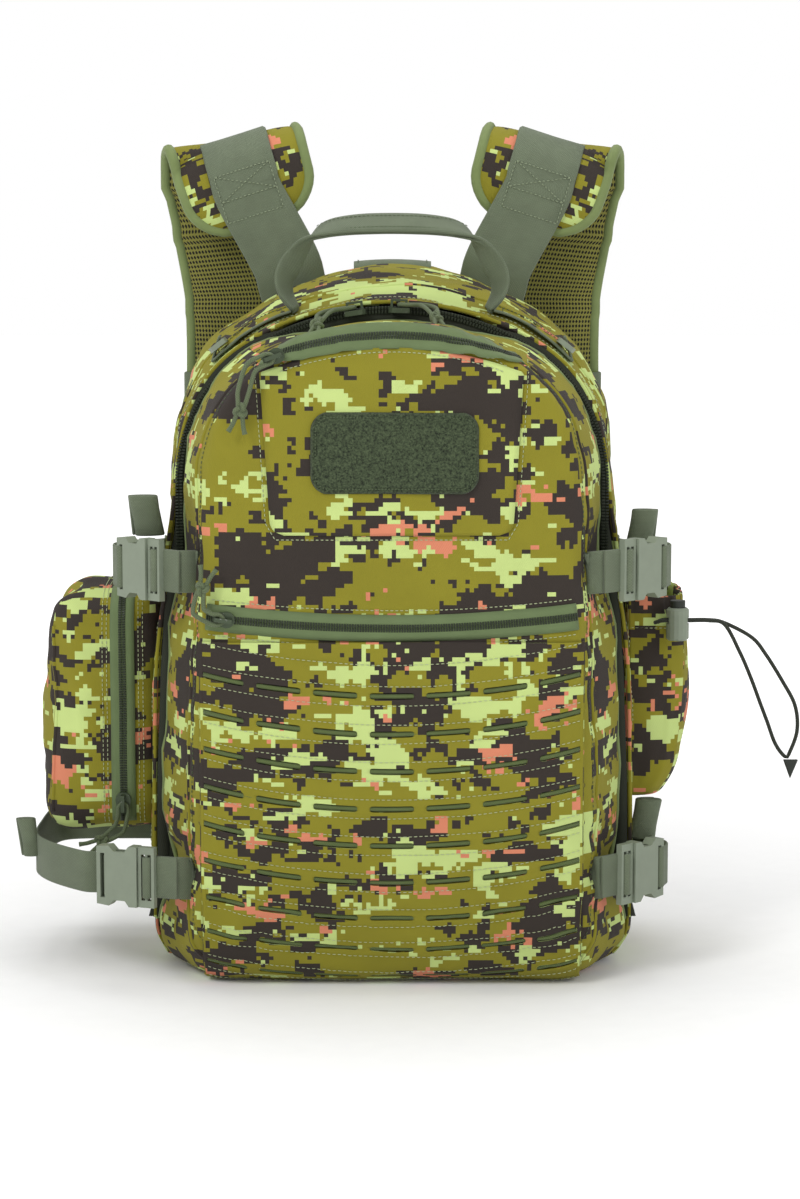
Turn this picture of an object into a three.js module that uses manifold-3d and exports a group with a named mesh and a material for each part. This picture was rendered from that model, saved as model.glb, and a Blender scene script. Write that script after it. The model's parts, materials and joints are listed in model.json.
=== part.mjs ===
// Hunting backpack: a rear section that holds the main compartment, and a front section with two
// zipped pockets that hinges forward at the base. Millimetres, +Z up, the front faces -Y, +X is the
// viewer's right. The origin is the middle of the base.
import * as THREE from "three";
import { mergeVertices } from "three/addons/utils/BufferGeometryUtils.js";
import { RoundedBoxGeometry } from "three/addons/geometries/RoundedBoxGeometry.js";
import Module from "manifold-3d";

const wasm = await Module();
wasm.setup();

// ---- driving dimensions ----
const GAP = 0.3; // air between neighbouring pieces
const WALL = 4; // padded fabric wall
const WEB = 1.8; // webbing thickness
const FRONT_FACE = -112; // Y of the front panel
const FRONT_REAR = -31; // Y where the front section ends
const FRONT_HALF = 142; // half width of the front section
const FRONT_TOP = 456; // top of the front section
const CROWN = 175; // radius of the front section's top arc
const SHOULDER = 100; // radius of the arcs that join the top to the sides
const FOOT = 30; // radius of the lower corners
const FRONT_BASE = 2.5; // the front section rests on the panel that runs under it
const EDGE_SIDE = 16; // how far the rounded front edge runs in from the side
const EDGE_FOOT = 55; // how far it runs up from the base
const FACE_LIFT = 10; // the front panel reaches this much nearer the top than a plain inset would
const FLARE = 1.09; // the front section is this much wider at its back than at its front
const EDGE_DEPTH = 40; // how far it runs back
const REAR_STEP = 21; // the rear section is this much larger all round
const MOUTH = -30; // Y of the main compartment's mouth
const BACK = 100; // Y of the back wall
const BACK_EDGE = 16; // rounding of the back wall's edge
const RISE = 14; // the top panel rises this much from the handle to the back
const ZIP_STEP = 4.3; // main zip line, outside the front section's outline
const ZIP_HEIGHT = 18; // tape and coil together
const ZIP_THICK = 1.6;
const CROWN_Z = FRONT_TOP - CROWN; // centre of every concentric top arc
const REAR_CROWN = CROWN + REAR_STEP;
const SHOULDER_X = FRONT_HALF - SHOULDER; // centre of the concentric shoulder arcs
const SHOULDER_Z = CROWN_Z + Math.sqrt((CROWN - SHOULDER) ** 2 - SHOULDER_X ** 2);
const REAR_HALF = FRONT_HALF + REAR_STEP;
const REAR_TOP = FRONT_TOP + REAR_STEP;

const rad = THREE.MathUtils.degToRad;
const vec = (x, y, z) => new THREE.Vector3(x, y, z);

// ---- materials ----
const material = (color, roughness, metalness = 0) =>
  new THREE.MeshStandardMaterial({ color, roughness, metalness });
const camo = () => material(0x8a8440, 0.9);
const webbing = () => material(0x6c775f, 0.85);
const moulded = () => material(0x8f9785, 0.5);
const zipTape = () => material(0x5a6b45, 0.85);
const zipMetal = () => material(0x4a5044, 0.4, 0.6);
const mesh3d = () => material(0x77753c, 0.95);
const loopPile = () => material(0x34483a, 1);
const lining = () => material(0x3a4032, 0.9);
const cordSleeve = () => material(0x4f5c41, 0.85);
const darkPlastic = () => material(0x2b2f28, 0.5);
const steel = () => material(0xb0b2b0, 0.35, 0.9);

// ---- geometry helpers ----
function part(name, geometry, look) {
  const made = new THREE.Mesh(geometry, look);
  made.name = name;
  return made;
}

/** A closed skin from equal rings of points, with a fan over each end. */
function skin(rings) {
  const count = rings[0].length;
  const middle = (ring) => ring.reduce((sum, p) => sum.add(p), vec(0, 0, 0)).divideScalar(count);
  const points = [...rings.flat(), middle(rings[0]), middle(rings.at(-1))];
  const startCentre = points.length - 2;
  const endCentre = points.length - 1;
  const lastRing = (rings.length - 1) * count;
  const index = [];
  for (let i = 0; i < count; i++) {
    const next = (i + 1) % count;
    for (let r = 0; r < lastRing; r += count) {
      index.push(r + i, r + next, r + count + next, r + i, r + count + next, r + count + i);
    }
    index.push(startCentre, next, i, endCentre, lastRing + i, lastRing + next);
  }
  return outward(points, index);
}

/** Turns every triangle to face out, so the volume is positive. */
function outward(points, index) {
  let volume = 0;
  for (let i = 0; i < index.length; i += 3) {
    const [a, b, c] = [points[index[i]], points[index[i + 1]], points[index[i + 2]]];
    volume += a.dot(vec(0, 0, 0).crossVectors(b, c));
  }
  const geometry = new THREE.BufferGeometry().setFromPoints(points);
  geometry.setIndex(volume < 0 ? [...index].reverse() : index);
  geometry.computeVertexNormals();
  return geometry;
}

function toSolid(geometry) {
  const bare = geometry.clone();
  bare.deleteAttribute("normal");
  bare.deleteAttribute("uv");
  const merged = mergeVertices(bare, 1e-3);
  const vertProperties = new Float32Array(merged.attributes.position.array);
  const triVerts = new Uint32Array(merged.index.array);
  return new wasm.Manifold(new wasm.Mesh({ numProp: 3, vertProperties, triVerts }));
}

function toGeometry(solid) {
  const result = solid.getMesh();
  const geometry = new THREE.BufferGeometry();
  geometry.setAttribute("position", new THREE.BufferAttribute(result.vertProperties, 3));
  geometry.setIndex(new THREE.BufferAttribute(result.triVerts, 1));
  geometry.computeVertexNormals();
  return geometry;
}

const cut = (base, ...tools) => tools.reduce((left, tool) => left.subtract(toSolid(tool)), toSolid(base));
const join = (base, ...more) => more.reduce((sum, piece) => sum.add(toSolid(piece)), toSolid(base));

/** A box from its centre and its sizes. */
const block = (x, y, z, sx, sy, sz) => new THREE.BoxGeometry(sx, sy, sz).translate(x, y, z);

/** A flat shape drawn in X and Z, as a plate whose front is at Y = front. */
function plate(name, shape, front, thickness, look) {
  const geometry = new THREE.ExtrudeGeometry(shape, {
    depth: thickness,
    bevelEnabled: false,
    curveSegments: 8,
  });
  const made = part(name, geometry, look);
  made.rotation.x = Math.PI / 2;
  made.position.y = front + thickness;
  return made;
}

/** Points of an arc in the X-Z plane; angles in degrees from +X towards +Z. */
function arc(x, z, radius, from, to, steps) {
  return Array.from({ length: steps + 1 }, (_, i) => {
    const angle = rad(from + ((to - from) * i) / steps);
    return new THREE.Vector2(x + radius * Math.cos(angle), z + radius * Math.sin(angle));
  });
}

/** The right half of the arch of the bag: side, shoulder arc and half of the top arc. */
function archHalf(step, footZ) {
  const turn = THREE.MathUtils.radToDeg(Math.asin(SHOULDER_X / (CROWN - SHOULDER)));
  return [
    new THREE.Vector2(FRONT_HALF + step, footZ),
    ...arc(SHOULDER_X, SHOULDER_Z, SHOULDER + step, 0, 90 - turn, 6),
    ...arc(0, CROWN_Z, CROWN + step, 90 - turn, 90, 5).slice(1),
  ];
}

const mirrored = (points) => points.map((p) => new THREE.Vector2(-p.x, p.y)).reverse();

/** The bag's whole outline, grown by step; its lowest line is at base. */
function outline(step, base, foot = FOOT) {
  const half = FRONT_HALF + step;
  const right = [
    ...arc(half - foot, base + foot, foot, -90, 0, 4).slice(0, -1),
    ...archHalf(step, base + foot),
  ];
  return [...right, ...mirrored(right).slice(1)];
}

/** A ring of points at a depth, made taller at its top by lift and wider by a share. */
const ringAt = (points, y, lift = 0, wider = 1) =>
  points.map((p) => vec(p.x * wider, y, p.y * (1 + lift / FRONT_TOP)));

/** An open band that follows the arch between two steps, as the zip tapes do. */
function archBand(inner, outer, footZ) {
  const outside = archHalf(outer, footZ);
  const inside = archHalf(inner, footZ);
  const outsideLoop = [...outside, ...mirrored(outside).slice(1)];
  const insideLoop = [...inside, ...mirrored(inside).slice(1)].reverse();
  return new THREE.Shape([...outsideLoop, ...insideLoop]);
}

/** A flat band with a rectangular section, through stations of place, side direction and half width. */
function ribbon(stations, thickness) {
  const half = thickness / 2;
  const rings = stations.map(({ at, along, side, halfWidth }) => {
    const out = vec(0, 0, 0).crossVectors(along, side).normalize();
    const corner = (s, o) => at.clone().addScaledVector(side, s * halfWidth).addScaledVector(out, o * half);
    return [corner(-1, -1), corner(1, -1), corner(1, 1), corner(-1, 1)];
  });
  return skin(rings);
}

/** A band of webbing along a smooth path, with its width in one fixed direction. */
function band(points, side, width, thickness = WEB, steps = 12) {
  const path = new THREE.CatmullRomCurve3(points, false, "centripetal");
  const stations = Array.from({ length: steps + 1 }, (_, i) => ({
    at: path.getPointAt(i / steps),
    along: path.getTangentAt(i / steps),
    side,
    halfWidth: width / 2,
  }));
  return ribbon(stations, thickness);
}

/** A round cord along a smooth path. */
function cord(points, radius, steps, sides = 3) {
  const section = new THREE.Shape();
  section.absarc(0, 0, radius, 0, Math.PI * 2);
  const extrudePath = new THREE.CatmullRomCurve3(points, false, "centripetal");
  return new THREE.ExtrudeGeometry(section, { steps, extrudePath, curveSegments: sides });
}

function roundedRectangle(x, z, width, height, radius) {
  const right = x + width / 2 - radius;
  const left = x - width / 2 + radius;
  const top = z + height / 2 - radius;
  const bottom = z - height / 2 + radius;
  return new THREE.Shape([
    ...arc(right, bottom, radius, -90, 0, 4),
    ...arc(right, top, radius, 0, 90, 4),
    ...arc(left, top, radius, 90, 180, 4),
    ...arc(left, bottom, radius, 180, 270, 4),
  ]);
}

// ---- front section ----
/** One ring of the front section; at angle 0 it is the flat front, at 90 the full outline. */
function frontRing(angle) {
  const inset = 1 - Math.sin(rad(angle));
  const y = FRONT_FACE + EDGE_DEPTH * (1 - Math.cos(rad(angle)));
  return ringAt(outline(-EDGE_SIDE * inset, FRONT_BASE + EDGE_FOOT * inset), y, FACE_LIFT * inset);
}

function frontVolume() {
  const rear = ringAt(outline(0, FRONT_BASE), FRONT_REAR, 0, FLARE);
  return skin([...[0, 22.5, 45, 67.5, 90].map(frontRing), rear]);
}

const LOWER_ZIP = { lowest: 251, radius: 980, sweep: 7.3 }; // it sags; sweep is degrees each side
const LOWER_ZIP_CENTRE = LOWER_ZIP.lowest + LOWER_ZIP.radius;
const ORGANIZER_RADIUS = 229; // arc of the organiser zip
const ORGANIZER_TOP = 447;
const ORGANIZER_SWEEP = 22; // degrees each side of the middle
const ORGANIZER_Z = ORGANIZER_TOP - ORGANIZER_RADIUS;
const POCKET_SPLIT = 300; // the lining between the two front pockets
const MOUTH_HEIGHT = 6; // pocket slot behind each zip
const MOUTH_SHORTER = { lower: 0.4, organizer: 3 }; // degrees by which each slot ends before its zip
const CAVITY_FRONT = -100; // front of the two pocket hollows
const CAVITY_STEP = 10; // their outline, inside the front section's

/** A band of an arc about a centre on the middle line; it reaches half each side of the radius. */
function arcBand(centreZ, radius, half, middleAngle, sweep) {
  return new THREE.Shape([
    ...arc(0, centreZ, radius + half, middleAngle - sweep, middleAngle + sweep, 14),
    ...arc(0, centreZ, radius - half, middleAngle + sweep, middleAngle - sweep, 14),
  ]);
}

const organizerArc = (half, sweep) => arcBand(ORGANIZER_Z, ORGANIZER_RADIUS, half, 90, sweep);
const lowerArc = (half, sweep) => arcBand(LOWER_ZIP_CENTRE, LOWER_ZIP.radius, half, 270, sweep);

function frontShell() {
  const cavityBack = FRONT_REAR - WALL;
  const depth = cavityBack - CAVITY_FRONT;
  const cavityHalf = FRONT_HALF - CAVITY_STEP;
  const lowerHeight = POCKET_SPLIT - EDGE_FOOT - 2 * WALL;
  const lowerZ = EDGE_FOOT + WALL + lowerHeight / 2;
  const lower = block(0, (CAVITY_FRONT + cavityBack) / 2, lowerZ, 2 * cavityHalf, depth, lowerHeight);
  const arch = archHalf(-CAVITY_STEP, POCKET_SPLIT);
  const upperShape = new THREE.Shape([...arch, ...mirrored(arch).slice(1)]);
  const upper = new THREE.ExtrudeGeometry(upperShape, { depth, bevelEnabled: false });
  upper.rotateX(Math.PI / 2).translate(0, cavityBack, 0);
  const mouthDepth = CAVITY_FRONT - FRONT_FACE + 2 * WALL;
  const mouth = (shape) => {
    const slot = new THREE.ExtrudeGeometry(shape, { depth: mouthDepth, bevelEnabled: false });
    return slot.rotateX(Math.PI / 2).translate(0, CAVITY_FRONT + WALL / 2, 0);
  };
  const lowerMouth = mouth(lowerArc(MOUTH_HEIGHT / 2, LOWER_ZIP.sweep - MOUTH_SHORTER.lower));
  const upperSweep = ORGANIZER_SWEEP - MOUTH_SHORTER.organizer;
  const upperMouth = mouth(organizerArc(MOUTH_HEIGHT / 2, upperSweep));
  return part("front_shell", toGeometry(cut(frontVolume(), lower, upper, lowerMouth, upperMouth)), camo());
}

const FACE_OUT = FRONT_FACE - GAP; // back of every piece that lies on the front panel
const ZIP_FRONT = FACE_OUT - ZIP_THICK;
const COIL = 1.1; // the coil stands this proud of its tape
const COIL_HEIGHT = 4;
const COIL_SHORTER = { lower: 0.25, organizer: 1 }; // degrees by which each coil ends before its tape

/** A zip on the front panel, from the flat shapes of its tape and its coil. */
function arcZip(name, tape, coil) {
  const tapeSolid = new THREE.ExtrudeGeometry(tape, { depth: ZIP_THICK, bevelEnabled: false });
  const coilSolid = new THREE.ExtrudeGeometry(coil, { depth: ZIP_THICK + COIL, bevelEnabled: false });
  const made = part(name, toGeometry(join(tapeSolid, coilSolid)), zipTape());
  made.rotation.x = Math.PI / 2;
  made.position.y = FACE_OUT;
  return made;
}

function frontZips() {
  const zipOf = (name, bandOf, sweep, coilSweep) =>
    arcZip(name, bandOf(ZIP_HEIGHT / 2, sweep), bandOf(COIL_HEIGHT / 2, coilSweep));
  return [
    zipOf("organizer_zip", organizerArc, ORGANIZER_SWEEP, ORGANIZER_SWEEP - COIL_SHORTER.organizer),
    zipOf("lower_pocket_zip", lowerArc, LOWER_ZIP.sweep, LOWER_ZIP.sweep - COIL_SHORTER.lower),
  ];
}

const PANEL_THICK = 3;
const PATCH_THICK = 2;
const ORGANIZER_PANEL = { sweep: 21.5, foot: 314, half: 82, corner: 7 };
const PATCH = { x: 2, z: 369, width: 112, height: 54, corner: 11 };

function organizerPanel() {
  const { sweep, foot: footZ, half: footHalf, corner: radius } = ORGANIZER_PANEL;
  const topArc = arc(0, ORGANIZER_Z, ORGANIZER_RADIUS - ZIP_HEIGHT / 2 - GAP, 90 - sweep, 90 + sweep, 12);
  const shape = new THREE.Shape([
    ...arc(-footHalf + radius, footZ + radius, radius, 180, 270, 4),
    ...arc(footHalf - radius, footZ + radius, radius, 270, 360, 4),
    ...topArc,
  ]);
  return plate("organizer_panel", shape, FACE_OUT - PANEL_THICK, PANEL_THICK, camo());
}

function loopPatch() {
  const shape = roundedRectangle(PATCH.x, PATCH.z, PATCH.width, PATCH.height, PATCH.corner);
  return plate("loop_patch", shape, FACE_OUT - PANEL_THICK - GAP - PATCH_THICK, PATCH_THICK, loopPile());
}

// ---- webbing-slot panel on the front ----
const SLOT_ROWS = 10;
const SLOT_COLUMNS = 7;
const SLOT_ROW_PITCH = 25.4;
const SLOT_COLUMN_PITCH = 38.1;
const SLOT_LENGTH = 30;
const SLOT_HEIGHT = 4;
const SLOT_TOP_ROW = 205.5;
const PANEL_HALF = 126;
const PANEL_TOP = 241.5;
const PANEL_LENGTH = 272.5; // measured down the fabric
const PANEL_UNDER = FRONT_BASE - GAP; // height of the panel's last stretch, under the base
const SHEET = 1.6;

/** Place and slope of the front fabric, a length below the panel's top edge. */
function downTheFront(length) {
  const flat = PANEL_TOP - EDGE_FOOT - PANEL_UNDER;
  if (length <= flat) {
    return { y: FACE_OUT, z: PANEL_TOP - length, angle: 0 };
  }
  let angle = 0;
  let walked = flat;
  while (walked < length && angle < 90) {
    walked += rad(1) * Math.hypot(EDGE_FOOT * Math.cos(rad(angle)), EDGE_DEPTH * Math.sin(rad(angle)));
    angle += 1;
  }
  const under = angle === 90 ? length - walked : 0;
  const y = FACE_OUT + EDGE_DEPTH * (1 - Math.cos(rad(angle))) + under;
  const z = PANEL_UNDER + EDGE_FOOT * (1 - Math.sin(rad(angle)));
  const slope = Math.atan2(EDGE_DEPTH * Math.sin(rad(angle)), EDGE_FOOT * Math.cos(rad(angle)));
  return { y, z, angle: slope };
}

function mollePanel() {
  const steps = 12;
  const flat = PANEL_TOP - EDGE_FOOT - PANEL_UNDER;
  const bent = (PANEL_LENGTH - flat) / steps; // one step of the part that bends round the lower edge
  const lengths = [0, ...Array.from({ length: steps + 1 }, (_, i) => flat + bent * i)];
  const rings = lengths.map((length) => {
    const { y, z, angle } = downTheFront(length);
    const out = vec(0, -Math.cos(angle) * SHEET, -Math.sin(angle) * SHEET);
    const back = [vec(-PANEL_HALF, y, z), vec(PANEL_HALF, y, z)];
    return [...back, back[1].clone().add(out), back[0].clone().add(out)];
  });
  const slots = [];
  for (let row = 0; row < SLOT_ROWS; row++) {
    const { y, z, angle } = downTheFront(PANEL_TOP - SLOT_TOP_ROW + row * SLOT_ROW_PITCH);
    for (let column = 0; column < SLOT_COLUMNS; column++) {
      const x = (column - (SLOT_COLUMNS - 1) / 2) * SLOT_COLUMN_PITCH;
      const slot = new THREE.BoxGeometry(SLOT_LENGTH, 6 * SHEET, SLOT_HEIGHT);
      slots.push(slot.rotateX(angle).translate(x, y, z));
    }
  }
  return part("molle_panel", toGeometry(cut(skin(rings), ...slots)), camo());
}

// ---- zip sliders and cord pulls ----
const BRIDGE_GAP = 2.2; // from the pull's pivot line to the slider's plate, and to its bridge
const PLATE_THICK = 3.5;
const BRIDGE_THICK = 1.6;
const SLIDER_DEPTH = BRIDGE_GAP + PLATE_THICK; // pivot line to the back of the slider
const PULL_CORD = 1.6; // cord radius

const SLIDER = { nose: 3.5, noseEnd: -7.5, tail: 5.5, tailStart: 2 }; // plan of its plate
const BRIDGE = { width: 2.8, length: 11.8, post: 1.8, postAt: 5 };

/** A slider seen from -Y, with its long side along Z and the pull's pivot at the origin. */
function slider(name) {
  const outlineShape = new THREE.Shape([
    new THREE.Vector2(-SLIDER.tail, SLIDER.tailStart),
    new THREE.Vector2(-SLIDER.nose, SLIDER.noseEnd),
    new THREE.Vector2(SLIDER.nose, SLIDER.noseEnd),
    new THREE.Vector2(SLIDER.tail, SLIDER.tailStart),
    ...arc(0, SLIDER.tailStart, SLIDER.tail, 30, 150, 4),
  ]);
  const plateSolid = new THREE.ExtrudeGeometry(outlineShape, { depth: PLATE_THICK, bevelEnabled: false });
  plateSolid.rotateX(Math.PI / 2).translate(0, SLIDER_DEPTH, 0);
  const overlap = 0.2; // the posts run this far into the plate and the bridge
  const rise = 2 * (BRIDGE_GAP + overlap) + BRIDGE_THICK;
  const postY = BRIDGE_GAP + 2 * overlap - rise / 2;
  const post = (z) => block(0, postY, z, BRIDGE.width, rise, BRIDGE.post);
  const bridge = block(0, -BRIDGE_GAP - BRIDGE_THICK / 2, 0, BRIDGE.width, BRIDGE_THICK, BRIDGE.length);
  const solid = join(plateSolid, post(BRIDGE.postAt), post(-BRIDGE.postAt), bridge);
  return part(name, toGeometry(solid), zipMetal());
}

const KNOT_RADIUS = 4;
const LOOP = { hole: 3.3, strand: 3.6, neck: 2, tie: 2.4, end: 5.5 }; // half widths down the loop
const LOOP_AT = { hole: 1.8, strand: 8, neck: -11, knot: -3, tie: 4, end: 15 }; // last four from the knot

/** A cord loop through the slider's bridge, closed by a knot with two loose ends; bend turns its end. */
function pull(name, length, bend) {
  const lead = 9; // straight part before the bend
  const curve = 16; // length of the bend
  const radius = curve / rad(bend);
  const point = (along, offset) => {
    const heading = (THREE.MathUtils.clamp(along - lead, 0, curve) / curve) * rad(bend);
    const before = Math.min(along, lead);
    const after = Math.max(along - lead - curve, 0);
    const x = radius * (1 - Math.cos(heading)) + after * Math.sin(heading) + offset * Math.cos(heading);
    const z = before + radius * Math.sin(heading) + after * Math.cos(heading) - offset * Math.sin(heading);
    return vec(x, 0, -z);
  };
  const side = (s) => [
    point(length + LOOP_AT.end, s * LOOP.end),
    point(length + LOOP_AT.tie, s * LOOP.tie),
    point(length + LOOP_AT.knot, s * LOOP.neck),
    point(length + LOOP_AT.neck, s * LOOP.strand),
    point(lead + curve / 2, s * LOOP.strand),
    point(LOOP_AT.strand, s * LOOP.strand),
    point(LOOP_AT.hole, s * LOOP.hole),
  ];
  const loop = cord([...side(-1), vec(0, 0, 0), ...side(1).reverse()], PULL_CORD, 32);
  const knot = new THREE.SphereGeometry(KNOT_RADIUS, 8, 6).translate(...point(length, 0).toArray());
  return part(name, toGeometry(join(loop, knot)), cordSleeve());
}

/** A slider and its pull, both turned in the face of the zip; bend turns the cord's free end. */
function sliderWithPull(prefix, turn, length, bend) {
  const group = new THREE.Group();
  const made = [slider(`${prefix}_slider`), pull(`${prefix}_pull`, length, bend)];
  made.forEach((piece) => {
    piece.rotation.y = rad(turn);
  });
  group.add(...made);
  return group;
}

const ORGANIZER_STOP = 20; // degrees left of the middle where the closed slider rests
const LOWER_STOP = 0.7; // degrees from the end of the lower zip to its closed slider
const PANEL_CLEARANCE = 1.4; // keeps the organiser's slider and pull clear of the panel below it

function organizerSlider() {
  const pivot = new THREE.Group();
  pivot.position.set(0, 0, ORGANIZER_Z);
  pivot.rotation.y = rad(-ORGANIZER_STOP);
  const onZip = sliderWithPull("organizer", 90, 46, 60);
  onZip.position.set(0, ZIP_FRONT - COIL - PANEL_CLEARANCE - SLIDER_DEPTH, ORGANIZER_RADIUS);
  pivot.add(onZip);
  return pivot;
}

function lowerSlider() {
  const pivot = new THREE.Group();
  pivot.position.set(0, 0, LOWER_ZIP_CENTRE);
  pivot.rotation.y = rad(LOWER_ZIP.sweep - LOWER_STOP);
  const onZip = sliderWithPull("lower_pocket", 90, 34, -100);
  onZip.position.set(0, ZIP_FRONT - COIL - GAP - SLIDER_DEPTH, -LOWER_ZIP.radius);
  pivot.add(onZip);
  return pivot;
}

// ---- main compartment zip ----
const MAIN_ZIP_FOOT = 34;
const MAIN_TAPE = 1.4;
const SLIDER_AHEAD = 6.5; // from the front section's back edge forward to the main sliders' pivots
const SLIDER_CLEARANCE = 0.2;

function mainZip() {
  const group = new THREE.Group();
  const front = archBand(-WALL, ZIP_STEP - GAP, MAIN_ZIP_FOOT);
  const rear = archBand(ZIP_STEP + GAP, REAR_STEP - WALL - GAP, MAIN_ZIP_FOOT);
  const y = FRONT_REAR + GAP;
  group.add(plate("main_zip_front_tape", front, y, MAIN_TAPE, zipTape()));
  group.add(plate("main_zip_rear_tape", rear, y, MAIN_TAPE, zipTape()));
  return group;
}

/** A main slider faces up from the arch, at an angle from the top; its pull lies forward over the front. */
function mainSlider(side, angle) {
  const pivot = new THREE.Group();
  pivot.position.set(0, 0, CROWN_Z);
  pivot.rotation.y = rad(angle);
  const away = side === "left" ? 1 : -1;
  const onZip = sliderWithPull(`main_${side}`, away * 90, 42, away * 75);
  onZip.position.set(0, FRONT_REAR - SLIDER_AHEAD, CROWN + ZIP_STEP + SLIDER_CLEARANCE + SLIDER_DEPTH);
  onZip.rotation.x = -Math.PI / 2;
  pivot.add(onZip);
  return pivot;
}

// ---- rear section ----
const HOSE_PORT = { fromBack: 14, width: 40, depth: 8 };

function rearShell() {
  const back = [0, 30, 60, 90].map((angle) => {
    const inset = BACK_EDGE * (1 - Math.cos(rad(angle)));
    return ringAt(outline(REAR_STEP - inset, inset), BACK - BACK_EDGE * (1 - Math.sin(rad(angle))), RISE);
  });
  const halfEdge = BACK_EDGE / 2;
  const innerOutline = outline(REAR_STEP - WALL, WALL, FOOT - WALL);
  const inside = [
    ringAt(outline(REAR_STEP - WALL - halfEdge, WALL + halfEdge, FOOT - WALL), BACK - WALL, RISE),
    ringAt(innerOutline, BACK - BACK_EDGE, RISE),
    ringAt(innerOutline, 0),
    ringAt(innerOutline, MOUTH),
  ];
  const outer = outline(REAR_STEP, 0);
  const rings = [...inside, ringAt(outer, MOUTH), ringAt(outer, 0), ...back];
  const { fromBack, width, depth } = HOSE_PORT;
  const hosePort = block(0, BACK - fromBack, REAR_TOP + RISE, width, depth, 8 * WALL);
  return part("rear_shell", toGeometry(cut(skin(rings), hosePort)), camo());
}

const BACK_PAD = { width: 250, thick: 12, height: 400, z: 246, rounding: 5 };
const FRAME_SHEET = { width: 230, height: 380, z: 215, corner: 30, thick: 2 };
const SLEEVE = { width: 200, height: 320, z: 185, corner: 12, thick: 3, fromWall: 9 };
const FLAP = { back: 98, width: 54, depth: 26, thick: 2.4, lift: 2.5 };

function backPad() {
  const { width, thick, height, z, rounding } = BACK_PAD;
  const rounded = new RoundedBoxGeometry(width, thick, height, 2, rounding);
  return part("back_pad", rounded.translate(0, BACK + GAP + thick / 2, z), mesh3d());
}

function frameSheet() {
  const { width, height, z, corner, thick } = FRAME_SHEET;
  const shape = roundedRectangle(0, z, width, height, corner);
  return plate("frame_sheet", shape, BACK - WALL - GAP - thick, thick, darkPlastic());
}

function hydrationSleeve() {
  const { width, height, z, corner, thick, fromWall } = SLEEVE;
  const shape = roundedRectangle(0, z, width, height, corner);
  return plate("hydration_sleeve", shape, BACK - WALL - fromWall, thick, lining());
}

function hydrationFlap() {
  const { back, width, depth, thick, lift } = FLAP;
  const flap = block(0, back - depth / 2, REAR_TOP + RISE + lift, width, depth, thick);
  return part("hydration_flap", flap, webbing());
}

// ---- carrying hardware ----
const HANDLE_HALF = 72;
const TOP_SEAM_Y = -13; // the handle, its tails and the rings lie along this seam
const HANDLE_FOOT = 471;
const HANDLE_TOP = 519;
const HANDLE_WEB = { width: 14, thick: 5 };
const TAIL = { from: 19, to: 33, width: 22 }; // degrees from the top of the arch

function grabHandle() {
  const side = (s) => [
    vec(s * HANDLE_HALF, TOP_SEAM_Y, HANDLE_FOOT),
    vec(s * (HANDLE_HALF - 3), TOP_SEAM_Y, HANDLE_FOOT + 20),
    vec(s * (HANDLE_HALF - 22), TOP_SEAM_Y, HANDLE_TOP - 8),
    vec(s * 24, TOP_SEAM_Y, HANDLE_TOP),
  ];
  const points = [...side(-1), ...side(1).reverse()];
  return part("grab_handle", band(points, vec(0, 1, 0), HANDLE_WEB.width, HANDLE_WEB.thick, 24), webbing());
}

/** Webbing that runs along the top seam from the handle's foot to the ring. */
function topWeb(side) {
  const radius = REAR_CROWN + GAP + WEB / 2;
  const path = arc(0, CROWN_Z, radius, 90 - TAIL.from, 90 - TAIL.to, 5);
  const points = path.map((p) => vec(p.x, TOP_SEAM_Y, p.y));
  return part(`top_web_${side}`, band(points, vec(0, 1, 0), TAIL.width, WEB, 5), webbing());
}

const RING_ANGLE = 52; // degrees up from the side, on the shoulder arc
const RING_WIRE = 3.6;
const RING_RADIUS = 14;

/** A D-shaped ring: a bar along Y and a bow that hangs down the side of the bag. */
function dRing(side) {
  const flatD = (radius, drop) => {
    const shape = new THREE.Shape(arc(0, -drop, radius, 180, 360, 10));
    return new THREE.ExtrudeGeometry(shape, { depth: RING_WIRE + drop, bevelEnabled: false });
  };
  const hole = flatD(RING_RADIUS - RING_WIRE, RING_WIRE).translate(0, 0, -RING_WIRE / 2);
  const bow = toGeometry(cut(flatD(RING_RADIUS, 0), hole)).translate(0, RING_WIRE / 2, -RING_WIRE / 2);
  const made = part(`d_ring_${side}`, bow, moulded());
  const normal = vec(Math.cos(rad(RING_ANGLE)), 0, Math.sin(rad(RING_ANGLE)));
  const upSlope = vec(-normal.z, 0, normal.x);
  made.quaternion.setFromRotationMatrix(new THREE.Matrix4().makeBasis(vec(0, 1, 0), upSlope, normal));
  made.position.set(SHOULDER_X, TOP_SEAM_Y, SHOULDER_Z);
  made.position.addScaledVector(normal, SHOULDER + REAR_STEP + 0.5 + RING_WIRE / 2);
  return made;
}

// ---- shoulder straps ----
const PAD_THICK = 12;
const STRAP_LEAN = 17; // degrees the strap's upper part leans outward

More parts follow.
